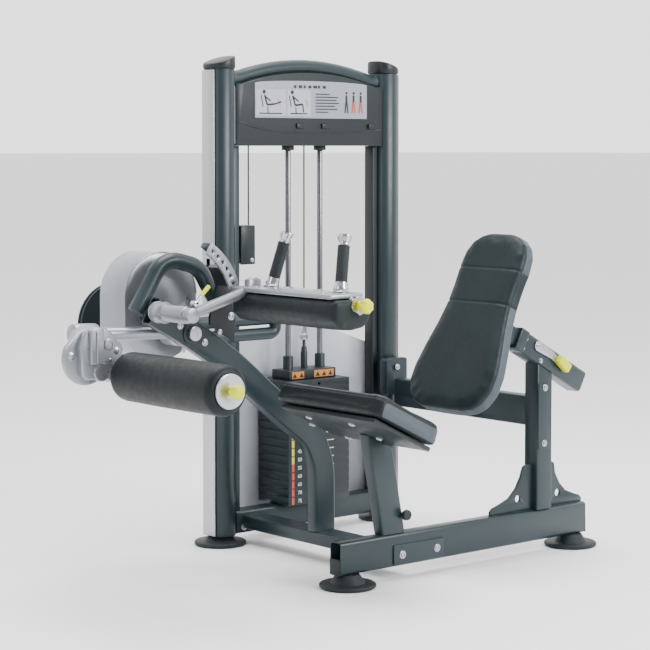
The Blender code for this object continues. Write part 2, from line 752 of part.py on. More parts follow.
# ---- thigh arm: sleeve on the main arm and tube to the pad plate ----
sleeve_far = arm_y - arm_depth / 2 - 0.001
sleeve_near = -0.085
sleeve_profile = [
    (0, 0), (0.029, 0), (0.029, 0.045), (0.0235, 0.048), (0.0235, sleeve_far - sleeve_near),
    (0, sleeve_far - sleeve_near)
]
sleeve = turned(sleeve_profile, (sleeve_x, sleeve_far, sleeve_z), (0, -1, 0), 24)
elbow_y = sleeve_near - 0.010
elbow = rod((sleeve_x, sleeve_near + 0.02, sleeve_z), (sleeve_x, elbow_y - 0.016, sleeve_z), 0.0205, 20)
combine(sleeve, elbow, "UNION", "thigh_elbow")
plate_far_x = thigh_center_x - 0.050
thigh_tube = rod((sleeve_x + 0.006, elbow_y, sleeve_z + 0.003), (plate_far_x, elbow_y, 0.8215), 0.0145, 20)
combine(sleeve, thigh_tube, "UNION", "thigh_tube")
plate = box(
    thigh_center_x - thigh_width / 2 + 0.004, thigh_center_x + thigh_width / 2 - 0.012,
    thigh_near + 0.024, thigh_far - 0.002, thigh_plate_bottom, thigh_plate_top, 0.004,
)
thigh_arm = keep(baked(sleeve), "thigh_arm", silver_paint)
plate_notch = rod(
    (sleeve_x + 0.006, elbow_y, sleeve_z + 0.003), (plate_far_x + 0.0004, elbow_y, 0.82165), 0.0149, 20
)
combine(plate, plate_notch, "DIFFERENCE", "plate_notch")
clamp_block = box(-0.316, -0.272, -0.083, -0.060, thigh_plate_top - 0.004, thigh_plate_top + 0.020, 0.004)
combine(plate, clamp_block, "UNION", "plate_block")
thigh_plate = keep(baked(plate), "thigh_plate", silver_paint)

pad_middle_y = (thigh_near + thigh_far) / 2
pad_bottom = 0.738
pad_section = [
    (-0.065, thigh_plate_bottom - 0.012), (-0.055, thigh_plate_bottom - gap),
    (0.055, thigh_plate_bottom - gap), (0.065, thigh_plate_bottom - 0.012),
    (0.062, pad_bottom + 0.026), (0.040, pad_bottom + 0.005), (0, pad_bottom),
    (-0.040, pad_bottom + 0.005), (-0.062, pad_bottom + 0.026),
]
pad_loop = [(thigh_center_x + u * thigh_width / 0.130, z) for u, z in pad_section[::-1]]
thigh_pad = extruded([pad_loop], "Y", thigh_near, thigh_far)
pad_soft = thigh_pad.modifiers.new("soft", "BEVEL")
pad_soft.width = 0.012
pad_soft.segments = 3
pad_soft.limit_method = "ANGLE"
pad_soft.angle_limit = math.radians(60)
pad_clear = rod((sleeve_x + 0.006, elbow_y, sleeve_z + 0.003), (plate_far_x + 0.002, elbow_y, 0.8222),
    0.0152, 20)
combine(thigh_pad, pad_clear, "DIFFERENCE", "pad_clear")
thigh_pad = keep(baked(thigh_pad), "thigh_pad", black_vinyl)

grip_nodes = []
for side, sign in (("far", 1), ("near", -1)):
    foot = Vector((grip_x, pad_middle_y + sign * grip_spacing / 2, thigh_plate_top + gap))
    tip = foot + Vector((0.036, -sign * 0.024, 0.152))
    line = (tip - foot).normalized()
    grip_profile = [
        (0, 0.012), (0.015, 0.012), (0.0150, 0.130), (0.0135, 0.133), (0.0175, 0.152), (0.0175, 0.158),
        (0, 0.159)
    ]
    grip = turned(grip_profile, foot, line, 16)
    socket = turned([(0, 0), (0.021, 0), (0.018, 0.010), (0.0165, 0.024), (0, 0.024)], foot, (0, 0, 1), 16)
    combine(grip, socket, "UNION", "grip_socket")
    grip_nodes.append(keep(baked(grip), f"thigh_grip_{side}", black_rubber))

thigh_knob_x = -0.272
thigh_knob_z = 0.804
thigh_knob_profile = [
    (0, 0), (0.021, 0), (0.021, 0.004), (0.012, 0.006), (0.012, 0.012), (0.020, 0.016), (0.021, 0.032),
    (0.017, 0.038), (0, 0.040),
]
thigh_knob = turned(thigh_knob_profile, (thigh_knob_x, thigh_near - gap, thigh_knob_z), (0, -1, 0), 20)
keep(thigh_knob, "thigh_knob", yellow_plastic)

release_x = -0.512
release_z = 0.7985
release_y = elbow_y
release = rod((release_x, release_y, release_z), (release_x + 0.050, release_y, release_z + 0.046),
    0.0052, 14)
release_hub = rod((release_x, release_y - 0.011, release_z), (release_x, release_y + 0.009, release_z),
    0.008, 16)
combine(release, release_hub, "UNION", "release_hub")
release_lever = keep(baked(release), "thigh_release", yellow_plastic)

# ---- seat post, pan and cushion ----
post_bottom = Vector((0.042, seat_y, seat_beam_top + gap))
post_lean = math.radians(11)
post_length = 0.300
lean = Matrix.Translation(post_bottom) @ Matrix.Rotation(-post_lean, 4, "Y")
seat_along = Vector((math.cos(seat_tilt), 0, -math.sin(seat_tilt)))
seat_normal = Vector((math.sin(seat_tilt), 0, math.cos(seat_tilt)))
seat_front = Vector((seat_front_x, seat_y, seat_front_z))
seat_turn = Matrix.Rotation(seat_tilt, 4, "Y")
seat_place = Matrix.Translation(seat_front) @ seat_turn
pan_top = -seat_thickness - gap
pan_thickness = 0.012


def placed(obj, matrix):
    obj.data.transform(matrix)
    return obj


seat_post = hollow(0, 0, 0.084, 0.040, 0.007, "Z", -0.060, post_length)
seat_post = placed(seat_post, lean)
below_beam = box(-0.4, 0.5, -0.6, 0.1, -0.2, seat_beam_top + gap)
combine(seat_post, below_beam, "DIFFERENCE", "post_foot_cut")
above_pan = placed(box(-0.3, 0.6, -0.3, 0.3, pan_top - pan_thickness - gap, 0.5), seat_place)
combine(seat_post, above_pan, "DIFFERENCE", "post_top_cut")
keep(seat_post, "seat_post", frame_paint)

pan_edge = 0.030
seat_pan = box(
    pan_edge, seat_length - 0.012, -seat_width / 2 + pan_edge, seat_width / 2 - pan_edge,
    pan_top - pan_thickness, pan_top,
)
seat_pan = placed(seat_pan, seat_place)
keep(seat_pan, "seat_pan", frame_paint)

cushion = extruded(
    [rounded_rect(seat_length / 2, 0, seat_length, seat_width, 0.040, 5)], "Z", -seat_thickness, 0
)
cushion_soft = cushion.modifiers.new("soft", "BEVEL")
cushion_soft.width = 0.016
cushion_soft.segments = 3
cushion_soft.limit_method = "ANGLE"
cushion_soft.angle_limit = math.radians(50)
cushion = placed(baked(cushion), seat_place)
keep(cushion, "seat_cushion", black_vinyl)

# ---- rear post with gussets, cross tube to the tower and its clamp ----
post_half = 0.032
gusset_hole = 0.0115
rear_post = hollow(
    rear_post_x, seat_y, 0.064, 0.056, 0.006, "Z", seat_beam_top + gap, rear_post_top + 0.08
)
adjuster_along = Vector((math.cos(adjuster_slope), 0, -math.sin(adjuster_slope)))
adjuster_up = Vector((math.sin(adjuster_slope), 0, math.cos(adjuster_slope)))
adjuster_turn = Matrix.Rotation(adjuster_slope, 4, "Y")
adjuster_place = Matrix.Translation((adjuster_x, seat_y, adjuster_z)) @ adjuster_turn
adjuster_height = 0.066
over_post = placed(box(-0.5, 0.8, -0.2, 0.2, -adjuster_height / 2 - gap, 0.6), adjuster_place)
combine(rear_post, over_post, "DIFFERENCE", "post_slope_cut")
left_gusset = [
    (rear_post_x - post_half + 0.001, seat_beam_top + gap), (rear_post_x - post_half + 0.001, 0.268),
    (rear_post_x - 0.056, 0.268), (rear_post_x - 0.066, 0.262), (rear_post_x - 0.078, 0.232),
    (rear_post_x - 0.098, 0.200), (rear_post_x - 0.128, 0.174), (rear_post_x - 0.168, 0.160),
    (rear_post_x - 0.196, 0.152), (rear_post_x - 0.206, 0.142), (rear_post_x - 0.206, seat_beam_top + gap),
]
right_gusset = [
    (2 * rear_post_x - u, v) for u, v in left_gusset
]
squeeze = 0.188 / 0.206
right_gusset = [
    (rear_post_x + (u - rear_post_x) * (squeeze if u > rear_post_x + 0.07 else 1), v)
    for u, v in right_gusset
]
for name, loop, hole_x in (
    ("gusset_front", left_gusset, rear_post_x - 0.090),
    ("gusset_rear", right_gusset[::-1], rear_post_x + 0.082)
):
    sheet = extruded([loop, circle(hole_x, 0.170, gusset_hole, 16)], "Y", seat_y - 0.004, seat_y + 0.004)
    combine(rear_post, sheet, "UNION", name)
keep(rear_post, "rear_post", frame_paint)

cross_tube_x = right_upright_x + 0.001
cross_tube_z = 0.425
clamp_far = tower_y - upright_depth / 2 - gap
clamp_thick = 0.034
cross_tube_near = seat_y + 0.028 + gap
cross_tube = hollow(
    cross_tube_x, cross_tube_z, 0.044, 0.090, 0.006, "Y", cross_tube_near, clamp_far - clamp_thick + 0.004
)
clamp = extruded(
    [rounded_rect(cross_tube_x - 0.014, cross_tube_z + 0.052, 0.088, 0.118, 0.010, 3)],
    "Y", clamp_far - clamp_thick, clamp_far,
)
combine(cross_tube, clamp, "UNION", "tower_clamp")
keep(cross_tube, "cross_tube", frame_paint)

# ---- back pad adjuster: outer tube on the post, sliding carriage, release lever ----
adjuster_outline = rounded_rect(0, 0, 0.060, adjuster_height, 0.010, 3)
adjuster_inner = rounded_rect(0, 0, 0.048, adjuster_height - 0.012, 0.006, 3)
adjuster_tube = extruded([adjuster_outline, adjuster_inner], "X", 0, adjuster_length)
adjuster_tube = placed(adjuster_tube, adjuster_place)
keep(adjuster_tube, "adjuster_tube", frame_paint)

back_turn = Matrix.Rotation(math.pi / 2 - back_slope, 4, "Y")
back_place = Matrix.Translation((back_low_x, seat_y, back_low_z)) @ back_turn
back_plate_x = back_thickness + gap
carriage = extruded([rounded_rect(0, 0, 0.0470, adjuster_height - 0.013, 0.005, 3)], "X", -0.200, 0.200)
carriage = placed(carriage, adjuster_place)
behind_pad = placed(box(-0.4, back_plate_x + 0.006, -0.3, 0.3, -0.2, 0.8), back_place)
combine(carriage, behind_pad, "DIFFERENCE", "carriage_face")
mount_plate = placed(box(back_plate_x, back_plate_x + 0.008, -0.060, 0.060, 0.120, 0.360), back_place)
combine(carriage, mount_plate, "UNION", "pad_plate")
carriage = keep(baked(carriage), "back_carriage", black_steel)

back_rows = [
    (0.000, 0.080), (0.010, 0.118), (0.032, 0.150), (0.075, 0.172), (0.130, 0.174), (0.200, 0.160),
    (0.270, 0.142), (0.330, 0.132), (0.390, 0.130), (0.450, 0.133), (0.500, 0.128), (0.535, 0.110),
    (0.558, 0.078), (0.569, 0.040),
]
back_right = [(-half, s * back_length / 0.569) for s, half in back_rows]
back_left = [(half, s * back_length / 0.569) for s, half in back_rows[::-1]]
back_pad = extruded([back_right[::-1] + back_left[::-1]], "X", 0, back_thickness)
back_soft = back_pad.modifiers.new("soft", "BEVEL")
back_soft.width = 0.016
back_soft.segments = 3
back_soft.limit_method = "ANGLE"
back_soft.angle_limit = math.radians(60)
back_pad = placed(baked(back_pad), back_place)
keep(back_pad, "back_pad", black_vinyl)

lever_pin = adjuster_place @ Vector((0.082, 0, 0.012))
near_face = seat_y - 0.030 - gap
handle_radius = 0.0135
handle_y = near_face - handle_radius - gap
lever_loop = [
    (0.068, 0.022), (0.080, 0.030), (0.155, 0.026), (0.205, 0.014), (0.205, -0.006), (0.150, 0.000),
    (0.080, -0.004), (0.068, 0.004),
]
back_lever = extruded([lever_loop[::-1]], "Y", near_face - 0.006, near_face)
back_lever = placed(back_lever, Matrix.Translation((adjuster_x, 0, adjuster_z)) @ adjuster_turn)
grip_start = Matrix.Translation((adjuster_x, 0, adjuster_z)) @ adjuster_turn @ Vector((0.172, 0, 0.012))
grip_end = Matrix.Translation((adjuster_x, 0, adjuster_z)) @ adjuster_turn @ Vector((0.222, 0, 0.002))
handle = rod(
    (grip_start.x, handle_y, grip_start.z), (grip_end.x, handle_y, grip_end.z), handle_radius, 16
)
combine(back_lever, handle, "UNION", "lever_grip")
back_lever = keep(baked(back_lever), "back_release", yellow_plastic)

# ---- weight stack ----
left_x = tower_x - stack_width / 2
right_x = tower_x + stack_width / 2


def rod_holes(obj, low, high, radius=guide_rod_radius + 0.0015):
    for x in (tower_x - guide_rod_spacing / 2, tower_x + guide_rod_spacing / 2):
        hole = rod((x, tower_y, low - 0.02), (x, tower_y, high + 0.02), radius, 16)
        combine(obj, hole, "DIFFERENCE", "guide_hole")
    return obj


rest_top = stack_bottom + plate_pitch * rest_plates - gap
notches = []
for row in range(rest_plates):
    low = stack_bottom + plate_pitch * row
    high = min(low + plate_pitch - 0.0012, rest_top)
    notches += [(low, 0.0), (high, 0.0)]
    if row < rest_plates - 1:
        notches += [(high, 0.005), (low + plate_pitch, 0.005)]
rest_loop = [(right_x - inset, z) for z, inset in notches]
rest_loop += [(left_x + inset, z) for z, inset in notches[::-1]]
rest_stack = extruded([rest_loop], "Y", tower_y - stack_depth / 2, tower_y + stack_depth / 2)
rod_holes(rest_stack, stack_bottom, rest_top)
keep(rest_stack, "rest_stack", black_steel)

lifted = []
for number in range(lifted_plates):
    low = stack_bottom + plate_pitch * (rest_plates + number)
    high = low + plate_pitch - 0.0006
    slab = box(left_x, right_x, tower_y - stack_depth / 2, tower_y + stack_depth / 2, low, high)
    rod_holes(slab, low, high)
    pin_hole = rod(
        (tower_x, tower_y - 0.2, (low + high) / 2), (tower_x, tower_y - 0.01, (low + high) / 2), 0.0052, 12
    )
    combine(slab, pin_hole, "DIFFERENCE", "pin_hole")
    lifted.append(keep(baked(slab), f"weight_plate_{lifted_plates - number}", black_steel))

head_low = stack_top
head_high = stack_top + top_plate_height
top_plate = box(tower_x - 0.095, tower_x + 0.095, tower_y - 0.044, tower_y + 0.044, head_low, head_high,
    0.002)
for x in (tower_x - guide_rod_spacing / 2, tower_x + guide_rod_spacing / 2):
    bushing = rod((x, tower_y, head_low + 0.01), (x, tower_y, head_high + 0.042), 0.0165, 18)
    combine(top_plate, bushing, "UNION", "bushing")
stem_profile = [
    (0, 0), (0.011, 0), (0.011, 0.060), (0.009, 0.064), (0.009, 0.074), (0.005, 0.080), (0.005, 0.100),
    (0, 0.100)
]
stem = turned(stem_profile, (tower_x, tower_y, head_high - 0.01), (0, 0, 1), 18)
combine(top_plate, stem, "UNION", "stem")
rod_holes(top_plate, head_low, head_high + 0.05)
top_plate = keep(baked(top_plate), "top_plate", black_steel)

pin_z = stack_bottom + plate_pitch * rest_plates + plate_pitch / 2 - 0.0003
pin = rod((tower_x, tower_y - 0.088, pin_z), (tower_x, tower_y - 0.020, pin_z), 0.0042, 12)
pin_knob = turned(
    [(0, 0), (0.010, 0), (0.012, 0.004), (0.012, 0.024), (0.009, 0.030), (0, 0.031)],
    (tower_x, tower_y - stack_depth / 2 - 0.006, pin_z), (0, -1, 0), 16,
)
combine(pin, pin_knob, "UNION", "pin_knob")
pin = keep(baked(pin), "selector_pin", black_steel)

# ---- head pulleys and the cable along its whole route ----
stem_top = head_high + 0.090
pulley_a_x = tower_x - pulley_radius
side_cable_x = 0.092
pulley_b_x = side_cable_x + pulley_radius
pulley_profile = [
    (0.0064, -0.010), (pulley_radius + 0.004, -0.010), (pulley_radius + 0.004, -0.007),
    (pulley_radius - cable_radius - gap, -0.003), (pulley_radius - cable_radius - gap, 0.003),
    (pulley_radius + 0.004, 0.007), (pulley_radius + 0.004, 0.010), (0.0064, 0.010), (0.0064, -0.010),
]
head_pulleys = []
for name, x in (("head_pulley_stack", pulley_a_x), ("head_pulley_side", pulley_b_x)):
    wheel = turned(pulley_profile, (x, tower_y, pulley_z), (0, 1, 0), 28)
    head_pulleys.append(keep(wheel, name, black_steel))
    pin_axle = rod((x, panel_front + 0.004, pulley_z), (x, tower_y + 0.014, pulley_z), 0.006, 14)
    combine(head_panel, pin_axle, "UNION", f"{name}_axle")

cable_stack = rod((tower_x, tower_y, stem_top + gap), (tower_x, tower_y, pulley_z - 0.0005), cable_radius, 8)
keep(cable_stack, "cable_stack", steel_cable)

turn_radius = 0.019
turn_center = Vector((side_cable_x - turn_radius, tower_y, cable_z + turn_radius))
cam_center = Vector((pivot_x, tower_y, pivot_z))
span = cam_center - turn_center
span_angle = math.atan2(span.z, span.x)
lean_angle = math.acos((turn_radius + cam_radius) / span.length)
leave = span_angle + lean_angle
meet = leave + math.pi


def arc_points(center, radius, first, last, steps):
    return [
        Vector((center.x + radius * math.cos(a), center.y, center.z + radius * math.sin(a)))
        for a in np.linspace(first, last, steps)
    ]


over_a = arc_points(Vector((pulley_a_x, tower_y, pulley_z)), pulley_radius, 0, math.pi / 2, 7)
over_b = arc_points(Vector((pulley_b_x, tower_y, pulley_z)), pulley_radius, math.pi / 2, math.pi, 7)
while leave > 0:
    leave -= 2 * math.pi
under_c = arc_points(turn_center, turn_radius, 0, leave, 7)
while meet < 0:
    meet += 2 * math.pi
while meet > 2 * math.pi:
    meet -= 2 * math.pi
on_cam = arc_points(cam_center, cam_radius, meet, meet + math.radians(80), 9)
cable_run = swept(over_a + over_b + under_c + on_cam, circle(0, 0, cable_radius, 8))
keep(cable_run, "cable_run", steel_cable)

# ---- pulley box on the left rail ----
box_left = inner_left + gap + rail_width + gap
box_right = box_left + 0.056
pulley_box = box(box_left, box_right, tower_y - 0.026, tower_y + 0.026, 0.858, 0.978, 0.003)
box_inside = box(box_left - 0.01, box_right - 0.003, tower_y - 0.022, tower_y + 0.022, 0.850, 0.974)
combine(pulley_box, box_inside, "DIFFERENCE", "box_inside")
box_hole = rod((side_cable_x, tower_y, 0.95), (side_cable_x, tower_y, 1.0), 0.006, 12)
combine(pulley_box, box_hole, "DIFFERENCE", "box_hole")
keep(pulley_box, "pulley_box", black_steel)

# ---- joint axes ----
lever_members = [lever_arm, cam_wheel, casting, roller_axle, roller_knob, roller_foam]
pivot("lever_axis", (pivot_x, tower_y, pivot_z), lever_members)
pivot("thigh_axis", (sleeve_x, sleeve_far, sleeve_z),
    [thigh_arm, thigh_plate, thigh_pad, thigh_knob] + grip_nodes)
pivot("release_axis", (release_x, release_y, release_z), [release_lever])
pivot("carriage_axis", (adjuster_x, seat_y, adjuster_z), [carriage, back_pad])
pivot("back_release_axis", lever_pin, [back_lever])
pivot("stack_axis", (tower_x, tower_y, head_low), [top_plate] + lifted)
pivot("pin_axis", (tower_x, tower_y, pin_z), [pin])
for wheel, x in zip(head_pulleys, (pulley_a_x, pulley_b_x)):
    pivot(f"{wheel.name}_axis", (x, tower_y, pulley_z), [wheel])

# ---- the origin under the middle of the machine ----
for obj in list(parts.objects) + list(cutters.objects):
    if obj.parent is None:
        obj.location.x -= center_shift
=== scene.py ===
import bpy
import math
from mathutils import Matrix, Vector


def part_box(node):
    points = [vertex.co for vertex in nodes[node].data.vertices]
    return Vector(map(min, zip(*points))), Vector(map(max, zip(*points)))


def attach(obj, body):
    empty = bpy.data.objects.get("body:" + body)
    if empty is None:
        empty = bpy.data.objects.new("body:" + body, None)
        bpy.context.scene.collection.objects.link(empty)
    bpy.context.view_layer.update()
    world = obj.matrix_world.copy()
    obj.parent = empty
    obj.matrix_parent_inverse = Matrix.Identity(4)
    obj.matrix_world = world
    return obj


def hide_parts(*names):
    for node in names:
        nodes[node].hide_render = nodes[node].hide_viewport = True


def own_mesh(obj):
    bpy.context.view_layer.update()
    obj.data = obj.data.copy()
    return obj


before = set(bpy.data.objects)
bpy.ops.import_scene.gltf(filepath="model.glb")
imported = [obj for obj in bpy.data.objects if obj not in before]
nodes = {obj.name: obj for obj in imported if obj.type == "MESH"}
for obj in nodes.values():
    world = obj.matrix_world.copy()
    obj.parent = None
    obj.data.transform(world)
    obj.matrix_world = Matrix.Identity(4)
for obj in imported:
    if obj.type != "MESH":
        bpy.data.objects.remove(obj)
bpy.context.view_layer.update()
print("frame loaded:", len(nodes), "nodes")


# ---- small helpers for finishes ----
def linear(hexColour):
    channels = [int(hexColour[i:i + 2], 16) / 255 for i in (1, 3, 5)]
    return tuple(c / 12.92 if c <= 0.04045 else ((c + 0.055) / 1.055) ** 2.4 for c in channels) + (1,)


def addNode(owner, kind, settings=None, inputs=None, give=0):
    node = owner.node_tree.nodes.new(kind)
    for name, value in (settings or {}).items():
        setattr(node, name, value)
    for name, value in (inputs or {}).items():
        if isinstance(value, bpy.types.NodeSocket):
            owner.node_tree.links.new(value, node.inputs[name])
        else:
            node.inputs[name].default_value = value
    return node.outputs[give]


def perMetre(sizeInMm):  # a pattern's scale on Object coordinates, which are metres
    return 1000 / sizeInMm


def startFinish(name, roughness, metallic=0.0, **sockets):
    material = bpy.data.materials.new(name)
    material.use_nodes = True
    shader = material.node_tree.nodes["Principled BSDF"]
    shader.inputs["Roughness"].default_value = roughness
    shader.inputs["Metallic"].default_value = metallic
    for socket, value in sockets.items():
        shader.inputs[socket.replace("_", " ")].default_value = value
    return material, shader


def wire(material, shader, **sockets):  # each finish ends by joining its patterns to the shader
    for socket, source in sockets.items():
        material.node_tree.links.new(source, shader.inputs[socket.replace("_", " ")])
    return material


coatLook = {"cloudMm": 220, "glossMm": 30, "peelMm": 2.6, "peelDepth": 0.00003, "rubbed": "#6d7b81"}


def powderCoat(name, colour, lighter, roughness=0.34, flake=0.0):
    # oven-cured powder coat on steel: satin, faint orange peel, a paler worn line where edges are rubbed
    material, shader = startFinish(name, roughness, flake, Specular_IOR_Level=0.34, Coat_Weight=0.1,
                                   Coat_Roughness=0.2)
    place = addNode(material, "ShaderNodeTexCoord", give="Object")
    cloud = addNode(material, "ShaderNodeTexNoise", inputs={
        "Vector": place, "Scale": perMetre(coatLook["cloudMm"])})
    cloud = addNode(material, "ShaderNodeMapRange", inputs={
        "Value": cloud, "From Min": 0.35, "From Max": 0.65, "To Min": 0.0, "To Max": 0.5})
    tone = addNode(material, "ShaderNodeMix", {"data_type": "RGBA"},
                   {0: cloud, 6: linear(colour), 7: linear(lighter)}, 2)
    rubbed = addNode(material, "ShaderNodeNewGeometry", give="Pointiness")
    rubbed = addNode(material, "ShaderNodeMapRange", inputs={
        "Value": rubbed, "From Min": 0.56, "From Max": 0.66, "To Min": 0.0, "To Max": 0.25})
    tone = addNode(material, "ShaderNodeMix", {"data_type": "RGBA"},
                   {0: rubbed, 6: tone, 7: linear(coatLook["rubbed"])}, 2)
    gloss = addNode(material, "ShaderNodeTexNoise", inputs={
        "Vector": place, "Scale": perMetre(coatLook["glossMm"])})
    gloss = addNode(material, "ShaderNodeMapRange", inputs={
        "Value": gloss, "From Min": 0.3, "From Max": 0.7,
        "To Min": roughness - 0.03, "To Max": roughness + 0.05})
    peel = addNode(material, "ShaderNodeTexNoise", inputs={
        "Vector": place, "Scale": perMetre(coatLook["peelMm"]), "Detail": 1})
    peel = addNode(material, "ShaderNodeBump", inputs={
        "Height": peel, "Distance": coatLook["peelDepth"], "Strength": 0.5})
    return wire(material, shader, Base_Color=tone, Roughness=gloss, Normal=peel)


vinylLook = {"polishMm": 120, "glossMm": 16, "pebbleMm": 2.4, "creaseMm": 34, "creaseShare": 3.0,
             "grainDepth": 0.00025, "panelGrey": "#424b52"}


def vinyl(name, colour, lighter, panel=None):
    # calendered PVC upholstery: pebbled grain 2.4 mm across, soft sheen, paler where bodies polish it
    material, shader = startFinish(name, 0.5, Specular_IOR_Level=0.24)
    place = addNode(material, "ShaderNodeTexCoord", give="Object")
    polish = addNode(material, "ShaderNodeTexNoise", inputs={
        "Vector": place, "Scale": perMetre(vinylLook["polishMm"]), "Detail": 3})
    polish = addNode(material, "ShaderNodeMapRange", inputs={
        "Value": polish, "From Min": 0.35, "From Max": 0.7, "To Min": 0.0, "To Max": 1.0})
    tone = addNode(material, "ShaderNodeMix", {"data_type": "RGBA"},
                   {0: polish, 6: linear(colour), 7: linear(lighter)}, 2)
    if panel:
        tone = addNode(material, "ShaderNodeMix", {"data_type": "RGBA"},
                       {0: panel(material), 6: tone, 7: linear(vinylLook["panelGrey"])}, 2)
    gloss = addNode(material, "ShaderNodeTexNoise", inputs={
        "Vector": place, "Scale": perMetre(vinylLook["glossMm"]), "Detail": 3})
    gloss = addNode(material, "ShaderNodeMapRange", inputs={
        "Value": gloss, "From Min": 0.3, "From Max": 0.7, "To Min": 0.43, "To Max": 0.56})
    pebble = addNode(material, "ShaderNodeTexVoronoi", {"feature": "SMOOTH_F1"}, {
        "Vector": place, "Scale": perMetre(vinylLook["pebbleMm"]), "Smoothness": 0.6}, "Distance")
    crease = addNode(material, "ShaderNodeTexNoise", inputs={
        "Vector": place, "Scale": perMetre(vinylLook["creaseMm"]), "Detail": 3, "Roughness": 0.55})
    grain = addNode(material, "ShaderNodeMath", {"operation": "MULTIPLY_ADD"},
                    {0: crease, 1: vinylLook["creaseShare"], 2: pebble})
    grain = addNode(material, "ShaderNodeBump", inputs={
        "Height": grain, "Distance": vinylLook["grainDepth"], "Strength": 0.5})
    return wire(material, shader, Base_Color=tone, Roughness=gloss, Normal=grain)


def metal(name, colour, lighter, roughness, grainMm=0.9, stretch=(1, 1, 0.04), depthMm=0.02):
    # bare or plated metal: fine drawing lines along its length, a little cloudiness in the polish
    material, shader = startFinish(name, roughness, 1.0)
    place = addNode(material, "ShaderNodeTexCoord", give="Object")
    place = addNode(material, "ShaderNodeMapping", inputs={"Vector": place, "Scale": stretch})
    lines = addNode(material, "ShaderNodeTexNoise", inputs={
        "Vector": place, "Scale": perMetre(grainMm), "Detail": 3, "Roughness": 0.6})
    share = addNode(material, "ShaderNodeMapRange", inputs={
        "Value": lines, "From Min": 0.3, "From Max": 0.7, "To Min": 0.0, "To Max": 1.0})
    tone = addNode(material, "ShaderNodeMix", {"data_type": "RGBA"},
                   {0: share, 6: linear(colour), 7: linear(lighter)}, 2)
    gloss = addNode(material, "ShaderNodeMapRange", inputs={
        "Value": lines, "From Min": 0.3, "From Max": 0.7,
        "To Min": roughness * 0.75, "To Max": roughness * 1.3})
    scratch = addNode(material, "ShaderNodeBump", inputs={
        "Height": lines, "Distance": depthMm / 1000, "Strength": 0.4})
    return wire(material, shader, Base_Color=tone, Roughness=gloss, Normal=scratch)


def moulded(name, colour, lighter, roughness, textureMm=1.1, depthMm=0.05):
    # injection-moulded plastic or rubber: fine spark-eroded texture from the tool, slight tone drift
    material, shader = startFinish(name, roughness, Specular_IOR_Level=0.35)
    place = addNode(material, "ShaderNodeTexCoord", give="Object")
    drift = addNode(material, "ShaderNodeTexNoise", inputs={"Vector": place, "Scale": perMetre(40)})
    drift = addNode(material, "ShaderNodeMapRange", inputs={
        "Value": drift, "From Min": 0.35, "From Max": 0.65, "To Min": 0.0, "To Max": 1.0})
    tone = addNode(material, "ShaderNodeMix", {"data_type": "RGBA"},
                   {0: drift, 6: linear(colour), 7: linear(lighter)}, 2)
    gloss = addNode(material, "ShaderNodeTexNoise", inputs={"Vector": place, "Scale": perMetre(6), "Detail": 3})
    gloss = addNode(material, "ShaderNodeMapRange", inputs={
        "Value": gloss, "From Min": 0.3, "From Max": 0.7,
        "To Min": roughness - 0.05, "To Max": roughness + 0.08})
    texture = addNode(material, "ShaderNodeTexNoise", inputs={"Vector": place, "Scale": perMetre(textureMm)})
    texture = addNode(material, "ShaderNodeBump", inputs={
        "Height": texture, "Distance": depthMm / 1000, "Strength": 0.6})
    return wire(material, shader, Base_Color=tone, Roughness=gloss, Normal=texture)


graphiteCoat = powderCoat("graphitePowderCoat", "#1b292e", "#1f2e33")
# a darker coat for the dark parts, also used as painted shade on the right inner rail
darkCoatAndShade = powderCoat("darkGraphiteCoatAndShade", "#0b1518", "#0f191d", 0.44)
silverCoat = powderCoat("silverPowderCoat", "#8f9299", "#999ca3", 0.3, 0.6)
blackSteel = powderCoat("blackPaintedSteel", "#1c2529", "#212b2f", 0.42)
polishedRod = metal("polishedSteelRod", "#6e7176", "#74777c", 0.26, 1.0, (1, 1, 0.01), 0.002)
brushedAluminium = metal("brushedAluminium", "#a8a9af", "#bcbdc2", 0.32)
chromePlate = metal("chromePlate", "#b4b6bc", "#c6c8cd", 0.12, 1.4, (1, 1, 0.1), 0.006)
zincBolt = metal("zincPlatedBolt", "#aeb1b6", "#bfc2c6", 0.26, 0.8, (1, 1, 1), 0.01)
limePlastic = moulded("limeAbsPlastic", "#c8cc00", "#d4d800", 0.36)
blackRubber = moulded("blackMouldedRubber", "#171d20", "#1e2528", 0.6, 1.6, 0.12)
shroudPlastic = moulded("paleAcrylicShroud", "#b6b9c1", "#bcbfc7", 0.3, 3.0, 0.02)
cableJacket = moulded("nylonCableJacket", "#2a3034", "#343a3e", 0.45, 1.2, 0.1)
print("finishes made")


# ---- small helpers for shapes ----
def selectOnly(piece):
    bpy.ops.object.select_all(action="DESELECT")
    piece.select_set(True)
    bpy.context.view_layer.objects.active = piece


def cleanUp(piece, name, angle=35):  # modifiers applied, place put into the mesh, faces outward
    selectOnly(piece)
    for modifier in list(piece.modifiers):
        bpy.ops.object.modifier_apply(modifier=modifier.name)
    bpy.ops.object.transform_apply(location=True, rotation=True, scale=True)
    bpy.ops.object.mode_set(mode="EDIT")
    bpy.ops.mesh.select_all(action="SELECT")
    bpy.ops.mesh.remove_doubles(threshold=0.000005)
    bpy.ops.mesh.normals_make_consistent(inside=False)
    bpy.ops.object.mode_set(mode="OBJECT")
    bpy.ops.object.shade_smooth_by_angle(angle=math.radians(angle))
    piece.name = name
    piece.data.name = name
    return piece


def pointing(place, along):
    return Matrix.Translation(place) @ Vector(along).to_track_quat("Z", "Y").to_matrix().to_4x4()


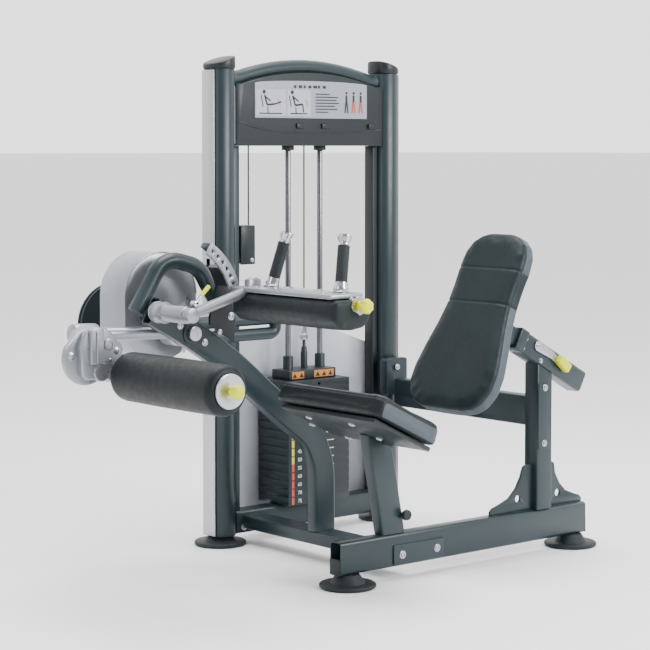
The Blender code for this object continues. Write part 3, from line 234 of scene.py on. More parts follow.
def turned(name, rings, place, along=(0, 0, 1), sides=40, angle=35):
    # a disc extruded and scaled ring by ring: each ring is (radius, height along the axis)
    radius, height = rings[0]
    bpy.ops.object.select_all(action="DESELECT")
    bpy.ops.mesh.primitive_circle_add(vertices=sides, radius=radius, fill_type="NGON", location=(0, 0, height))
    piece = bpy.context.object
    bpy.ops.object.transform_apply(location=True, rotation=False, scale=False)
    bpy.ops.object.mode_set(mode="EDIT")
    bpy.ops.mesh.select_mode(type="FACE")
    bpy.ops.mesh.select_all(action="SELECT")
    for nextRadius, nextHeight in rings[1:]:
        bpy.ops.mesh.extrude_region_move(TRANSFORM_OT_translate={"value": (0, 0, nextHeight - height)})
        share = nextRadius / radius
        bpy.ops.transform.resize(value=(share, share, 1), center_override=(0, 0, nextHeight))
        radius, height = nextRadius, nextHeight
    bpy.ops.object.mode_set(mode="OBJECT")
    piece.matrix_world = pointing(place, along)
    return cleanUp(piece, name, angle)


def block(name, low, high, bevel=0.002, segments=3, turn=None):
    centre = (Vector(low) + Vector(high)) / 2
    bpy.ops.object.select_all(action="DESELECT")
    bpy.ops.mesh.primitive_cube_add(size=1, location=centre, scale=Vector(high) - Vector(low))
    piece = bpy.context.object
    bpy.ops.object.transform_apply(location=True, rotation=False, scale=True)
    rounding = piece.modifiers.new("rounding", "BEVEL")
    rounding.width = bevel
    rounding.segments = segments
    if turn:
        piece.matrix_world = turn
    return cleanUp(piece, name)


def flatPlate(name, outlines, thickness, rounding, place):
    sheet = bpy.data.curves.new(name, "CURVE")
    sheet.dimensions = "2D"
    sheet.fill_mode = "BOTH"
    sheet.extrude = thickness / 2 - rounding
    sheet.bevel_depth = rounding
    sheet.bevel_resolution = 2
    sheet.offset = -rounding
    for outline in outlines:
        line = sheet.splines.new("POLY")
        line.points.add(len(outline) - 1)
        line.use_cyclic_u = True
        for point, spot in zip(line.points, outline):
            point.co = (spot[0], spot[1], 0, 1)
    piece = bpy.data.objects.new(name, sheet)
    bpy.context.scene.collection.objects.link(piece)
    selectOnly(piece)
    bpy.ops.object.convert(target="MESH")
    piece = bpy.context.object
    piece.matrix_world = place
    return cleanUp(piece, name, 40)


def tube(name, points, radius, sides=5, bevelEnds=True):
    line = bpy.data.curves.new(name, "CURVE")
    line.dimensions = "3D"
    line.bevel_depth = radius
    line.bevel_resolution = sides
    line.use_fill_caps = bevelEnds
    path = line.splines.new("POLY")
    path.points.add(len(points) - 1)
    for point, spot in zip(path.points, points):
        point.co = (*spot, 1)
    piece = bpy.data.objects.new(name, line)
    bpy.context.scene.collection.objects.link(piece)
    selectOnly(piece)
    bpy.ops.object.convert(target="MESH")
    return cleanUp(bpy.context.object, name, 50)


def roundLoop(cx, cz, radius, count=32, start=0.0, sweep=2 * math.pi):
    whole = abs(sweep - 2 * math.pi) < 0.001
    steps = count if whole else count - 1
    turns = [start + sweep * i / steps for i in range(count)]
    return [(cx + radius * math.cos(a), cz + radius * math.sin(a)) for a in turns]


def nearFacing(y):  # local x and y become world x and z, the plate faces the near side
    return Matrix(((1, 0, 0, 0), (0, 0, -1, y), (0, 1, 0, 0), (0, 0, 0, 1)))


def joined(pieces, name):
    bpy.ops.object.select_all(action="DESELECT")
    for piece in pieces:
        piece.select_set(True)
    bpy.context.view_layer.objects.active = pieces[0]
    if len(pieces) > 1:
        bpy.ops.object.join()
    pieces[0].name = name
    pieces[0].data.name = name
    return pieces[0]


def dress(piece, body, material, replaced=()):
    piece.data.materials.clear()
    piece.data.materials.append(material)
    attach(piece, body)
    if replaced:
        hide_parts(*replaced)
    return piece


boltShape = {"head": 0.55, "socket": 0.46, "recess": 0.34}


def bolts(name, body, spots):  # button-head socket screws on a thin washer: (place, direction, radius)
    first = None
    made = []
    for place, along, radius in spots:
        if first is None:
            tall = boltShape["head"]
            rings = [(1.35, -0.05), (1.35, 0.12), (1.28, 0.16), (1.0, 0.16), (1.0, 0.34), (0.86, tall),
                     (boltShape["socket"] + 0.1, tall + 0.08), (boltShape["socket"], tall + 0.08),
                     (boltShape["socket"] - 0.02, tall + 0.08 - boltShape["recess"])]
            first = turned("boltShape", rings, (0, 0, 0), (0, 0, 1), 24)
        bolt = bpy.data.objects.new(name, first.data.copy())
        bpy.context.scene.collection.objects.link(bolt)
        bolt.matrix_world = pointing(place, along) @ Matrix.Scale(radius, 4)
        made.append(cleanUp(bolt, name))
    bpy.data.objects.remove(first)
    return dress(joined(made, name), body, zincBolt)


near = (0, -1, 0)
up = (0, 0, 1)

# ---- carried-over frame pieces: real finish, softened edges ----
nodeFinish = {
    graphiteCoat: ["upright_left", "upright_right", "tower_base_beam", "head_arch", "inner_rail_left",
                   "cross_beam", "seat_beam", "main_arm", "stop_bar", "guard_loop", "seat_post", "rear_post",
                   "cross_tube", "adjuster_tube"],
    # inner_rail_right takes the darker coat as painted shade; its mirror twin inner_rail_left has the graphite
    # coat
    darkCoatAndShade: ["head_panel", "inner_rail_right", "quadrant_wall", "seat_pan", "pulley_box", "upright_cap_left",
               "upright_cap_right"],
    silverCoat: ["cam_cover", "lever_arm", "thigh_arm", "thigh_plate", "quadrant_face"],
    blackSteel: ["cam_wheel", "rest_stack", "weight_plate_1", "weight_plate_2", "weight_plate_3", "top_plate",
                 "back_carriage", "head_pulley_side", "head_pulley_stack", "selector_pin"],
    polishedRod: ["guide_rod_left", "guide_rod_right"],
    brushedAluminium: ["upright_strip_left", "upright_strip_right", "roller_axle"],
    shroudPlastic: ["rear_shroud"],
    cableJacket: ["cable_run"],
    blackRubber: ["foot_tower_left", "foot_tower_right", "foot_seat_front", "foot_seat_rear"],
}
edgeSoftening = {"main_arm": 0.0, "stop_bar": 0.0, "guard_loop": 0.0, "cable_run": 0.0,
                 "head_arch": 0.0, "rear_shroud": 0.0005, "seat_beam": 0.004, "cross_beam": 0.004,
                 "tower_base_beam": 0.004, "cam_cover": 0.003, "cross_tube": 0.003}
for material, names in nodeFinish.items():
    for name in names:
        node = nodes[name]
        node.data.materials.clear()
        node.data.materials.append(material)
        if "custom_normal" in node.data.attributes:
            node.data.attributes.remove(node.data.attributes["custom_normal"])
        node.data.shade_smooth()
        merge = node.modifiers.new("merge", "WELD")
        merge.merge_threshold = 0.00002
        width = edgeSoftening.get(name, 0.0012)
        if width:
            soften = node.modifiers.new("soften", "BEVEL")
            soften.width = width
            soften.segments = 2
            soften.angle_limit = math.radians(38)
        split = node.modifiers.new("split", "EDGE_SPLIT")
        split.split_angle = math.radians(42)
print("frame dressed")


# ---- upholstery ----
def along(material, vector, direction, start):  # distance along a direction, from a start value
    reach = addNode(material, "ShaderNodeVectorMath", {"operation": "DOT_PRODUCT"},
                    {0: vector, 1: direction}, "Value")
    return addNode(material, "ShaderNodeMath", {"operation": "SUBTRACT"}, {0: reach, 1: start})


def roundedMask(material, u, v, centre, half, radius):  # 1 inside a rounded rectangle, 0 outside
    parts = []
    for value, middle, reach in ((u, centre[0], half[0]), (v, centre[1], half[1])):
        for operation, other in (("SUBTRACT", middle), ("ABSOLUTE", 0.0), ("SUBTRACT", reach - radius),
                                 ("MAXIMUM", 0.0), ("POWER", 2.0)):
            value = addNode(material, "ShaderNodeMath", {"operation": operation}, {0: value, 1: other})
        parts.append(value)
    both = addNode(material, "ShaderNodeMath", {"operation": "ADD"}, {0: parts[0], 1: parts[1]})
    return addNode(material, "ShaderNodeMath", {"operation": "LESS_THAN"}, {0: both, 1: radius * radius})


seatPad = {"tilt": math.radians(26), "shrink": 0.004, "ease": 4, "settle": 7, "voxel": 0.006, "pressure": 4.0,
           "cap": 0.005, "panelLength": (0.030, 0.262), "panelHeight": (0.006, 0.047), "panelCorner": 0.012}
backPad = {"slope": math.radians(63.5), "shrink": 0.003, "ease": 4, "settle": 8, "voxel": 0.006,
           "pressure": 4.0, "cap": 0.0042, "seams": (0.337, 0.445), "greyFrom": 0.024}
cloth = {"quality": 5, "mass": 0.3, "stiffness": 18, "bending": 0.6, "steps": 20}
thighPad = {"shrink": 0.002, "ease": 2, "settle": 3, "voxel": 0.005, "pressure": 3.0, "cap": 0.003}

seatAlong = Vector((math.cos(seatPad["tilt"]), 0, -math.sin(seatPad["tilt"])))
seatUp = Vector((math.sin(seatPad["tilt"]), 0, math.cos(seatPad["tilt"])))
seatPoints = [v.co for v in nodes["seat_cushion"].data.vertices]
seatStart = min(p.dot(seatAlong) for p in seatPoints)
seatBottom = min(p.dot(seatUp) for p in seatPoints)
backAlong = Vector((math.cos(backPad["slope"]), 0, math.sin(backPad["slope"])))
backInto = Vector((math.sin(backPad["slope"]), 0, -math.cos(backPad["slope"])))
backPoints = [v.co for v in nodes["back_pad"].data.vertices]
backStart = min(p.dot(backAlong) for p in backPoints)
backFront = min(p.dot(backInto) for p in backPoints)
backRear = max(p.dot(backInto) for p in backPoints)


def seatPanel(material):  # grey side panels let into the black cover
    place = addNode(material, "ShaderNodeTexCoord", give="Object")
    normal = addNode(material, "ShaderNodeTexCoord", give="Normal")
    length, height = seatPad["panelLength"], seatPad["panelHeight"]
    u = along(material, place, seatAlong, seatStart)
    v = along(material, place, seatUp, seatBottom)
    inside = roundedMask(material, u, v, (sum(length) / 2, sum(height) / 2),
                         ((length[1] - length[0]) / 2, (height[1] - height[0]) / 2), seatPad["panelCorner"])
    side = along(material, normal, (0, 1, 0), 0.0)
    side = addNode(material, "ShaderNodeMath", {"operation": "ABSOLUTE"}, {0: side})
    side = addNode(material, "ShaderNodeMath", {"operation": "GREATER_THAN"}, {0: side, 1: 0.6})
    return addNode(material, "ShaderNodeMath", {"operation": "MULTIPLY"}, {0: inside, 1: side})


def backPanel(material):  # grey edge band above and below the black middle panel
    place = addNode(material, "ShaderNodeTexCoord", give="Object")
    normal = addNode(material, "ShaderNodeTexCoord", give="Normal")
    u = along(material, place, backAlong, backStart)
    v = along(material, place, backInto, backFront)
    low, high = backPad["seams"]
    below = addNode(material, "ShaderNodeMath", {"operation": "LESS_THAN"}, {0: u, 1: low})
    above = addNode(material, "ShaderNodeMath", {"operation": "GREATER_THAN"}, {0: u, 1: high})
    band = addNode(material, "ShaderNodeMath", {"operation": "ADD"}, {0: below, 1: above})
    behind = addNode(material, "ShaderNodeMath", {"operation": "GREATER_THAN"}, {0: v, 1: backPad["greyFrom"]})
    rim = along(material, normal, backInto, 0.0)
    rim = addNode(material, "ShaderNodeMath", {"operation": "ABSOLUTE"}, {0: rim})
    rim = addNode(material, "ShaderNodeMath", {"operation": "LESS_THAN"}, {0: rim, 1: 0.72})
    for mask in (behind, rim):
        band = addNode(material, "ShaderNodeMath", {"operation": "MULTIPLY"}, {0: band, 1: mask})
    return band


padVinyl = vinyl("blackPebbledVinyl", "#0e181b", "#121d20")
seatVinyl = vinyl("blackVinylGreyPanels", "#0d1518", "#11191d", seatPanel)
backVinyl = vinyl("blackVinylGreyBand", "#111d21", "#152226", backPanel)
rollerVinyl = vinyl("blackRollerSkin", "#0b1215", "#0f161a")


def paddedCopy(name, node, size, onBoard, grooves=()):
    piece = bpy.data.objects.new(name, nodes[node].data.copy())
    bpy.context.scene.collection.objects.link(piece)
    selectOnly(piece)
    bpy.ops.object.mode_set(mode="EDIT")
    bpy.ops.mesh.select_all(action="SELECT")
    bpy.ops.mesh.remove_doubles(threshold=0.00002)
    bpy.ops.object.mode_set(mode="OBJECT")
    even = piece.modifiers.new("even", "REMESH")
    even.mode = "VOXEL"
    even.voxel_size = size["voxel"]
    bpy.ops.object.modifier_apply(modifier="even")
    draw = piece.modifiers.new("draw", "DISPLACE")
    draw.strength = -size["shrink"]
    draw.mid_level = 0
    bpy.ops.object.modifier_apply(modifier="draw")
    ease = piece.modifiers.new("ease", "SMOOTH")
    ease.factor = 0.5
    ease.iterations = size["ease"]
    bpy.ops.object.modifier_apply(modifier="ease")
    start = [v.co.copy() for v in piece.data.vertices]
    board = piece.vertex_groups.new(name="board")
    board.add([v.index for v in piece.data.vertices if onBoard(v.co)], 1.0, "REPLACE")
    puff = piece.modifiers.new("puff", "CLOTH")
    puff.settings.quality = cloth["quality"]
    puff.settings.mass = cloth["mass"]
    puff.settings.tension_stiffness = cloth["stiffness"]
    puff.settings.compression_stiffness = cloth["stiffness"]
    puff.settings.bending_stiffness = cloth["bending"]
    puff.settings.use_pressure = True
    puff.settings.uniform_pressure_force = size["pressure"]
    puff.settings.vertex_group_mass = "board"
    puff.settings.effector_weights.gravity = 0
    for step in range(1, cloth["steps"] + 1):
        bpy.context.scene.frame_set(step)
    bpy.ops.object.modifier_apply(modifier="puff")
    bpy.context.scene.frame_set(1)
    for vertex, rest in zip(piece.data.vertices, start):
        move = vertex.co - rest
        if move.length > size["cap"]:
            vertex.co = rest + move.normalized() * size["cap"]
    settle = piece.modifiers.new("settle", "SMOOTH")
    settle.factor = 0.5
    settle.iterations = size["settle"]
    bpy.ops.object.modifier_apply(modifier="settle")
    finer = piece.modifiers.new("finer", "SUBSURF")
    finer.levels = finer.render_levels = 1
    bpy.ops.object.modifier_apply(modifier="finer")
    normals = [v.normal.copy() for v in piece.data.vertices]
    for direction, place, depth, width, facing in grooves:
        for vertex, normal in zip(piece.data.vertices, normals):
            away = (vertex.co.dot(direction) - place) / width
            if abs(away) < 3 and facing(vertex.co, normal):
                vertex.co = vertex.co - normal * depth * math.exp(-away * away)
    selectOnly(piece)
    bpy.ops.object.shade_smooth()
    piece.data.name = name
    return piece


def frontOfBack(point, normal):
    return normal.dot(backInto) < 0.3


def edgeOfBack(point, normal):
    return abs(normal.dot(backInto)) < 0.85


backGrooves = [(backAlong, backStart + seam, 0.0022, 0.0035, frontOfBack) for seam in backPad["seams"]]
backGrooves.append((backInto, backFront + backPad["greyFrom"], 0.0016, 0.0030, edgeOfBack))
backCushion = paddedCopy("backCushion", "back_pad", backPad,
                         lambda p: p.dot(backInto) > backRear - 0.010, backGrooves)
dress(backCushion, "back_unit", backVinyl, ("back_pad",))
print("back cushion padded")

seatGrooves = [(seatUp, seatBottom + 0.052, 0.0016, 0.0030, lambda p, n: abs(n.dot(seatUp)) < 0.8)]
seatCushion = paddedCopy("seatCushion", "seat_cushion", seatPad,
                         lambda p: p.dot(seatUp) < seatBottom + 0.010, seatGrooves)
dress(seatCushion, "frame", seatVinyl, ("seat_cushion",))
print("seat cushion padded")

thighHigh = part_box("thigh_pad")[1]
thighCushion = paddedCopy("thighCushion", "thigh_pad", thighPad, lambda p: p.z > thighHigh.z - 0.008)
dress(thighCushion, "thigh_unit", padVinyl, ("thigh_pad",))
print("thigh cushion padded")

rollerLow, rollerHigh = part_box("roller_foam")
rollerShape = {"edge": 0.022, "mouth": 0.034, "dip": 0.004, "crown": 0.0012}
rollerMiddle = (rollerLow + rollerHigh) / 2
rollerRadius = (rollerHigh.x - rollerLow.x) / 2
rollerLength = rollerHigh.y - rollerLow.y
corner = rollerShape["edge"]
halfRings = [(rollerShape["mouth"], rollerShape["dip"]), (rollerShape["mouth"] + 0.004, 0.0008)]
halfRings += [(rollerRadius - corner + corner * math.sin(a), corner - corner * math.cos(a))
              for a in [math.radians(d) for d in range(0, 91, 10)]]
rings = halfRings + [(rollerRadius + rollerShape["crown"] * math.sin(math.pi * i / 12),
                      corner + (rollerLength - 2 * corner) * i / 12) for i in range(1, 12)]
rings += [(r, rollerLength - h) for r, h in reversed(halfRings)]
roller = turned("rollerCushion", rings, (rollerMiddle.x, rollerLow.y, rollerMiddle.z), (0, 1, 0), 72, 50)
dress(roller, "roller", rollerVinyl, ("roller_foam",))
print("roller cushion made")

# ---- hand grips: chrome foot, ribbed rubber sleeve, flared chrome end ----
gripShape = {"lean": (0.036, 0.024, 0.152), "inset": 0.021, "sleeve": (0.026, 0.126), "ribs": 22,
             "radius": 0.0165, "ribDepth": 0.0007, "mouth": 0.0150,
             "shoe": [(0.0150, 0.002), (0.0185, 0.003), (0.0200, 0.008), (0.0178, 0.016), (0.0170, 0.0255),
                      (0.012, 0.0257)],
             "flange": [(0.0205, 0.0001), (0.0215, 0.001), (0.0215, 0.0045), (0.0205, 0.0055), (0.0165, 0.006)],
             "flare": [(0.0120, 0.0002), (0.0150, 0.0004), (0.0138, 0.005), (0.0150, 0.012), (0.0192, 0.021),
                       (0.0200, 0.026), (0.0190, 0.029), (0.0165, 0.0285), (0.0150, 0.022), (0.0080, 0.020)]}
for side, sign in (("far", -1), ("near", 1)):
    low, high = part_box(f"thigh_grip_{side}")
    inset = gripShape["inset"]
    foot = Vector((low.x + inset, (high.y if sign < 0 else low.y) + sign * inset, low.z))
    lean = Vector(gripShape["lean"]) * Vector((1, sign, 1))
    start, stop = gripShape["sleeve"]
    radius = gripShape["radius"]
    step = (stop - start - 0.006) / gripShape["ribs"]
    sleeveRings = [(gripShape["mouth"], start), (radius, start + 0.001)]
    for rib in range(gripShape["ribs"]):
        at = start + 0.003 + step * rib
        sleeveRings += [(radius, at), (radius - gripShape["ribDepth"], at + step * 0.4),
                        (radius, at + step * 0.8)]
    sleeveRings += [(radius, stop - 0.001), (gripShape["mouth"], stop)]
    sleeve = turned(f"gripSleeve_{side}", sleeveRings, foot, lean, 32, 30)
    dress(sleeve, "thigh_unit", blackRubber, (f"thigh_grip_{side}",))
    shoe = turned(f"gripFoot_{side}", gripShape["shoe"], foot, lean, 32)
    flange = turned(f"gripFlange_{side}", gripShape["flange"], foot, up, 32)
    flareRings = [(r, stop + h) for r, h in gripShape["flare"]]
    flare = turned(f"gripEnd_{side}", flareRings, foot, lean, 32)
    dress(joined([shoe, flange, flare], f"gripChrome_{side}"), "thigh_unit", chromePlate)
print("grips made")

# ---- pull knobs: lobed lime plastic on a plated collar ----
knobShape = {"rings": [(0.011, 0.0), (0.012, 0.001), (0.0125, 0.009), (0.0165, 0.013), (0.0200, 0.019),
                       (0.0207, 0.026), (0.0195, 0.033), (0.0160, 0.0375), (0.0090, 0.0392), (0.0030, 0.0394)],
             "lobes": 7, "depth": 0.0011, "lobedBeyond": 0.0135,
             "collar": [(0.013, -0.030), (0.0245, -0.0295), (0.0255, -0.028), (0.0255, -0.0015),
                        (0.0245, -0.0003), (0.013, 0.0)],
             "disc": [(0.0150, -0.004), (0.0445, -0.0038), (0.0452, -0.002), (0.0440, 0.0004), (0.0400, 0.0009),
                      (0.0240, 0.0002), (0.0150, -0.0006)]}
for name, body, node in (("thighKnob", "thigh_pull_knob", "thigh_knob"),
                         ("rollerKnob", "roller_pull_knob", "roller_knob")):
    low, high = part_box(node)
    place = Vector(((low.x + high.x) / 2, high.y, (low.z + high.z) / 2))
    knob = turned(name, knobShape["rings"], place, near, 56, 45)
    for vertex in knob.data.vertices:
        away = vertex.co - place
        reach = math.hypot(away.x, away.z)
        if reach > knobShape["lobedBeyond"]:
            wave = 1 + math.cos(knobShape["lobes"] * math.atan2(away.z, away.x))
            lobe = 1 - knobShape["depth"] / reach * wave
            vertex.co.x = place.x + away.x * lobe
            vertex.co.z = place.z + away.z * lobe
    dress(knob, body, limePlastic, (node,))
low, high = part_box("thigh_knob")
place = ((low.x + high.x) / 2, high.y + 0.0006, (low.z + high.z) / 2)
dress(turned("thighKnobCollar", knobShape["collar"], place, near, 40), "thigh_unit", chromePlate)
place = (rollerMiddle.x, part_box("roller_axle")[0].y - 0.0004, rollerMiddle.z)
disc = turned("rollerEndRing", knobShape["disc"], place, near, 56)
dress(disc, "roller_carrier", brushedAluminium)
print("knobs made")

# ---- thigh release: plated stem with a lime tip ----
releaseShape = {"inset": 0.008, "tipInset": 0.004, "stem": 0.0044, "stemShare": 0.5,
                "hub": [(0.0060, -0.010), (0.0078, -0.009), (0.0078, 0.008), (0.0060, 0.009)],
                "tip": [(0.0040, 0.40), (0.0050, 0.41), (0.0056, 0.55), (0.0060, 0.85), (0.0054, 0.97),
                        (0.0020, 1.0)]}
low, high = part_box("thigh_release")
releaseFoot = Vector((low.x + releaseShape["inset"], (low.y + high.y) / 2, low.z + releaseShape["inset"]))
releaseTip = Vector((high.x - releaseShape["tipInset"], releaseFoot.y, high.z - releaseShape["tipInset"]))
releaseAlong = releaseTip - releaseFoot
stemRings = [(releaseShape["stem"], releaseAlong.length * share) for share in (0.0, releaseShape["stemShare"])]
hub = turned("releaseHub", releaseShape["hub"], releaseFoot, near, 28)
stem = turned("releaseStem", stemRings, releaseFoot, releaseAlong, 20)
dress(joined([hub, stem], "releaseStem"), "thigh_lock_lever", chromePlate)
tipRings = [(radius, share * releaseAlong.length) for radius, share in releaseShape["tip"]]
tip = turned("releaseTip", tipRings, releaseFoot, releaseAlong, 24)
dress(tip, "thigh_lock_lever", limePlastic, ("thigh_release",))

# ---- back release: plated lever plate and lime grip ----
adjuster = {"slope": math.radians(28.5), "origin": Vector((0.514, -0.2954, 0.655)), "middleY": -0.265,
            "lever": [(0.068, 0.020), (0.080, 0.028), (0.150, 0.024), (0.196, 0.013), (0.196, -0.003),
                      (0.150, 0.002), (0.080, -0.003), (0.068, 0.005)],
            "leverThickness": 0.005, "pivot": (0.082, 0.012), "grip": (0.197, 0.007), "gripTurn": -11,
            "gripHalf": Vector((0.027, 0.0145, 0.0115)),
            "bolts": [(0.118, -0.020, 0.0055), (0.030, 0.012, 0.0050), (0.030, -0.018, 0.0050)]}
slopeAlong = Vector((math.cos(adjuster["slope"]), 0, -math.sin(adjuster["slope"])))
slopeUp = Vector((math.sin(adjuster["slope"]), 0, math.cos(adjuster["slope"])))


def onAdjuster(u, v, out=0.0):  # out is toward the near side
    return adjuster["origin"] + slopeAlong * u + slopeUp * v + Vector((0, -out, 0))


def adjusterPlace(origin):  # x runs down the tube, y out of its top, z toward the near side
    place = Matrix.Translation(origin)
    place.col[0][:3] = slopeAlong
    place.col[1][:3] = slopeUp
    place.col[2][:3] = near
    return place


pivotHole = roundLoop(*adjuster["pivot"], 0.003, 16)
leverPlate = flatPlate("backReleasePlate", [adjuster["lever"], pivotHole], adjuster["leverThickness"], 0.0012,
                       adjusterPlace(onAdjuster(0, 0, 0.0030)))
dress(leverPlate, "back_lock_lever", brushedAluminium)
gripTurn = adjusterPlace(onAdjuster(*adjuster["grip"], 0.0135)) @ Matrix.Rotation(
    math.radians(adjuster["gripTurn"]), 4, "Z")
limeGrip = block("backReleaseGrip", -adjuster["gripHalf"], adjuster["gripHalf"], 0.005, 4, gripTurn)
dress(limeGrip, "back_lock_lever", limePlastic, ("back_release",))
bolts("backReleaseBolts", "back_lock_lever", [(onAdjuster(*adjuster["pivot"], 0.0062), near, 0.0065)])
bolts("adjusterBolts", "frame",
      [(onAdjuster(u, v, -0.0002), near, radius) for u, v, radius in adjuster["bolts"]])
print("release levers made")

# ---- roller carrier casting ----
carrier = {"lobe": (-0.773, 0.657), "lobeRadius": 0.0745,
           "shoulder": [(-0.838, 0.690), (-0.800, 0.728), (-0.748, 0.738), (-0.700, 0.712), (-0.664, 0.690),
                        (-0.655, 0.672), (-0.664, 0.650), (-0.690, 0.606)],
           "core": [(-0.800, 0.612), (-0.786, 0.598), (-0.706, 0.600), (-0.686, 0.614), (-0.680, 0.668),
                    (-0.700, 0.716), (-0.722, 0.735), (-0.762, 0.739), (-0.790, 0.724), (-0.806, 0.690)],
           "clamp": [(-0.780, 0.640), (-0.738, 0.640), (-0.738, 0.734), (-0.752, 0.739), (-0.768, 0.739),
                     (-0.780, 0.732)],
           "rib": [(-0.764, 0.644), (-0.757, 0.644), (-0.757, 0.728), (-0.764, 0.728)],
           "web": [(-0.730, 0.640), (-0.652, 0.645), (-0.655, 0.588), (-0.690, 0.585), (-0.735, 0.600)],
           "plates": (("Flange", 0.012, 0.003, 0.062), ("Core", 0.072, 0.005, 0.072),
                      ("Clamp", 0.020, 0.0035, 0.034),
                      ("Rib", 0.006, 0.002, 0.0225), ("Web", 0.046, 0.006, 0.062)),
           "boss": [(0.017, -0.02), (0.017, 0.006), (0.015, 0.0085), (0.0105, 0.009), (0.0095, 0.006)],
           "hub": [(0.026, -0.05), (0.026, 0.010), (0.0235, 0.0130), (0.0170, 0.0135)],
           "axleHub": [(0.0240, -0.075), (0.0255, -0.070), (0.0255, -0.006), (0.0235, -0.0035),
                       (0.0100, -0.003)],
           "sleeve": [(0.0195, -0.002), (0.0270, 0.0), (0.0285, 0.003), (0.0285, 0.072), (0.0270, 0.075),
                      (0.0195, 0.077)],
           "plug": [(0.0150, -0.002), (0.0180, -0.0015), (0.0182, 0.0005), (0.0150, 0.0016)],
           "leverAlong": (-1, 0, 0.037)}
sweep = roundLoop(*carrier["lobe"], carrier["lobeRadius"], 26, math.radians(-38), math.radians(-170))
castOutlines = {"Flange": carrier["shoulder"] + sweep, "Core": carrier["core"], "Clamp": carrier["clamp"],
                "Rib": carrier["rib"], "Web": carrier["web"]}
castPieces = [flatPlate("carrier" + part, [castOutlines[part]], thickness, rounding, nearFacing(y))
              for part, thickness, rounding, y in carrier["plates"]]
castPieces += [turned("carrierBoss", carrier["boss"], (-0.716, 0.040, 0.690), near, 36),
               turned("carrierHub", carrier["hub"], (-0.740, 0.044, 0.618), near, 40),
               turned("carrierAxleHub", carrier["axleHub"], (rollerMiddle.x, 0.0225, rollerMiddle.z), near, 40),
               turned("carrierSleeve", carrier["sleeve"], (-0.696, 0.130, 0.7110), carrier["leverAlong"], 44)]
casting = joined(castPieces, "rollerCarrier")
dress(casting, "roller_carrier", silverCoat, ("roller_bracket",))
bolts("rollerCarrierBolts", "roller_carrier", [((-0.822, 0.0558, 0.664), near, 0.0085),
                                               ((-0.690, 0.0358, 0.672), near, 0.0075),
                                               ((-0.701, 0.0358, 0.634), near, 0.0040),
                                               ((-0.712, 0.0358, 0.648), near, 0.0040)])
endPlug = turned("leverTubeEnd", carrier["plug"], (-0.7217, 0.130, 0.7105), carrier["leverAlong"], 32)
dress(endPlug, "lever", blackRubber)
print("roller carrier made")

# ---- pivot hardware ----
pivot = {"x": -0.421, "z": 0.700, "knurls": 30, "knurlDepth": 0.035, "knurlFrom": 0.0190,
         "cap": [(0.0150, 0.0005), (0.0198, 0.0008), (0.0204, 0.0016), (0.0204, 0.0105), (0.0196, 0.0118),
                 (0.0150, 0.0122), (0.0070, 0.0124), (0.0055, 0.0108)],
         "bolts": [(-0.462, 0.0598, 0.724, 0.0075), (-0.377, 0.0598, 0.672, 0.0075),
                   (-0.453, 0.0598, 0.655, 0.0055),
                   (-0.294, 0.0470, 0.742, 0.0085), (-0.334, 0.0470, 0.700, 0.0060)],
         "ring": [(0.0240, 0.0), (0.0298, 0.0006), (0.0302, 0.002), (0.0298, 0.0034), (0.0240, 0.004)],
         "ringsAt": (0.004, 0.012, 0.038), "sleeveX": -0.543, "sleeveZ": 0.767}
capPlace = (pivot["x"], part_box("lever_arm")[0].y + 0.0095, pivot["z"])
axleCap = turned("pivotCap", pivot["cap"], capPlace, near, 60, 25)
for vertex in axleCap.data.vertices:  # knurled rim
    awayX, awayZ = vertex.co.x - pivot["x"], vertex.co.z - pivot["z"]
    if math.hypot(awayX, awayZ) > pivot["knurlFrom"]:
        tooth = 1 - pivot["knurlDepth"] * (math.cos(pivot["knurls"] * math.atan2(awayZ, awayX)) > 0)
        vertex.co.x, vertex.co.z = pivot["x"] + awayX * tooth, pivot["z"] + awayZ * tooth
dress(axleCap, "lever", brushedAluminium)
bolts("pivotBolts", "frame", [((x, y, z), near, radius) for x, y, z, radius in pivot["bolts"]])
sleeveAxis = (pivot["sleeveX"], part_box("thigh_arm")[1].y, pivot["sleeveZ"])
ringSet = [turned("sleeveRing", [(r, at + h) for r, h in pivot["ring"]], sleeveAxis, near, 44)
           for at in pivot["ringsAt"]]
dress(joined(ringSet, "sleeveRings"), "thigh_unit", silverCoat)
print("pivot hardware made")


# ---- weight stack: printed strips and marks ----
def paint(name, colour, roughness=0.5):
    # screen-printed ink or vinyl film: flat colour, slightly uneven gloss from handling
    return moulded(name, colour, colour, roughness, 2.0, 0.015)


whiteInk = paint("whiteInk", "#dfe2e2")
yellowFilm = paint("yellowLabelFilm", "#cfc74a")
redFilm = paint("redLabelFilm", "#b9503f")
orangeFilm = paint("orangeLabelFilm", "#d08a3c")
darkInk = paint("darkInk", "#20262a")
placardGrey = paint("placardGrey", "#8e929b", 0.42)
tileGrey = paint("placardTileGrey", "#a6aab2", 0.42)
restLow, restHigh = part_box("rest_stack")
topLow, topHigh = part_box("top_plate")
stack = {"pitch": 0.0258, "face": restLow.y, "bottom": restLow.z, "plates": 15, "redRows": 5,
         "strip": (0.187, 0.197), "stripGap": 0.0035, "filmDepth": 0.0006, "filmEdge": 0.0002,
         "figureX": 0.219, "figureSize": 0.0165, "inkDepth": 0.0003,
         "hole": [(0.0062, -0.0004), (0.0062, 0.0004), (0.0048, 0.0005), (0.0046, -0.0003)],
         "pinX": 0.2985, "dash": (0.028, 0.060), "dashHeight": 0.0024, "rodY": 0.44}


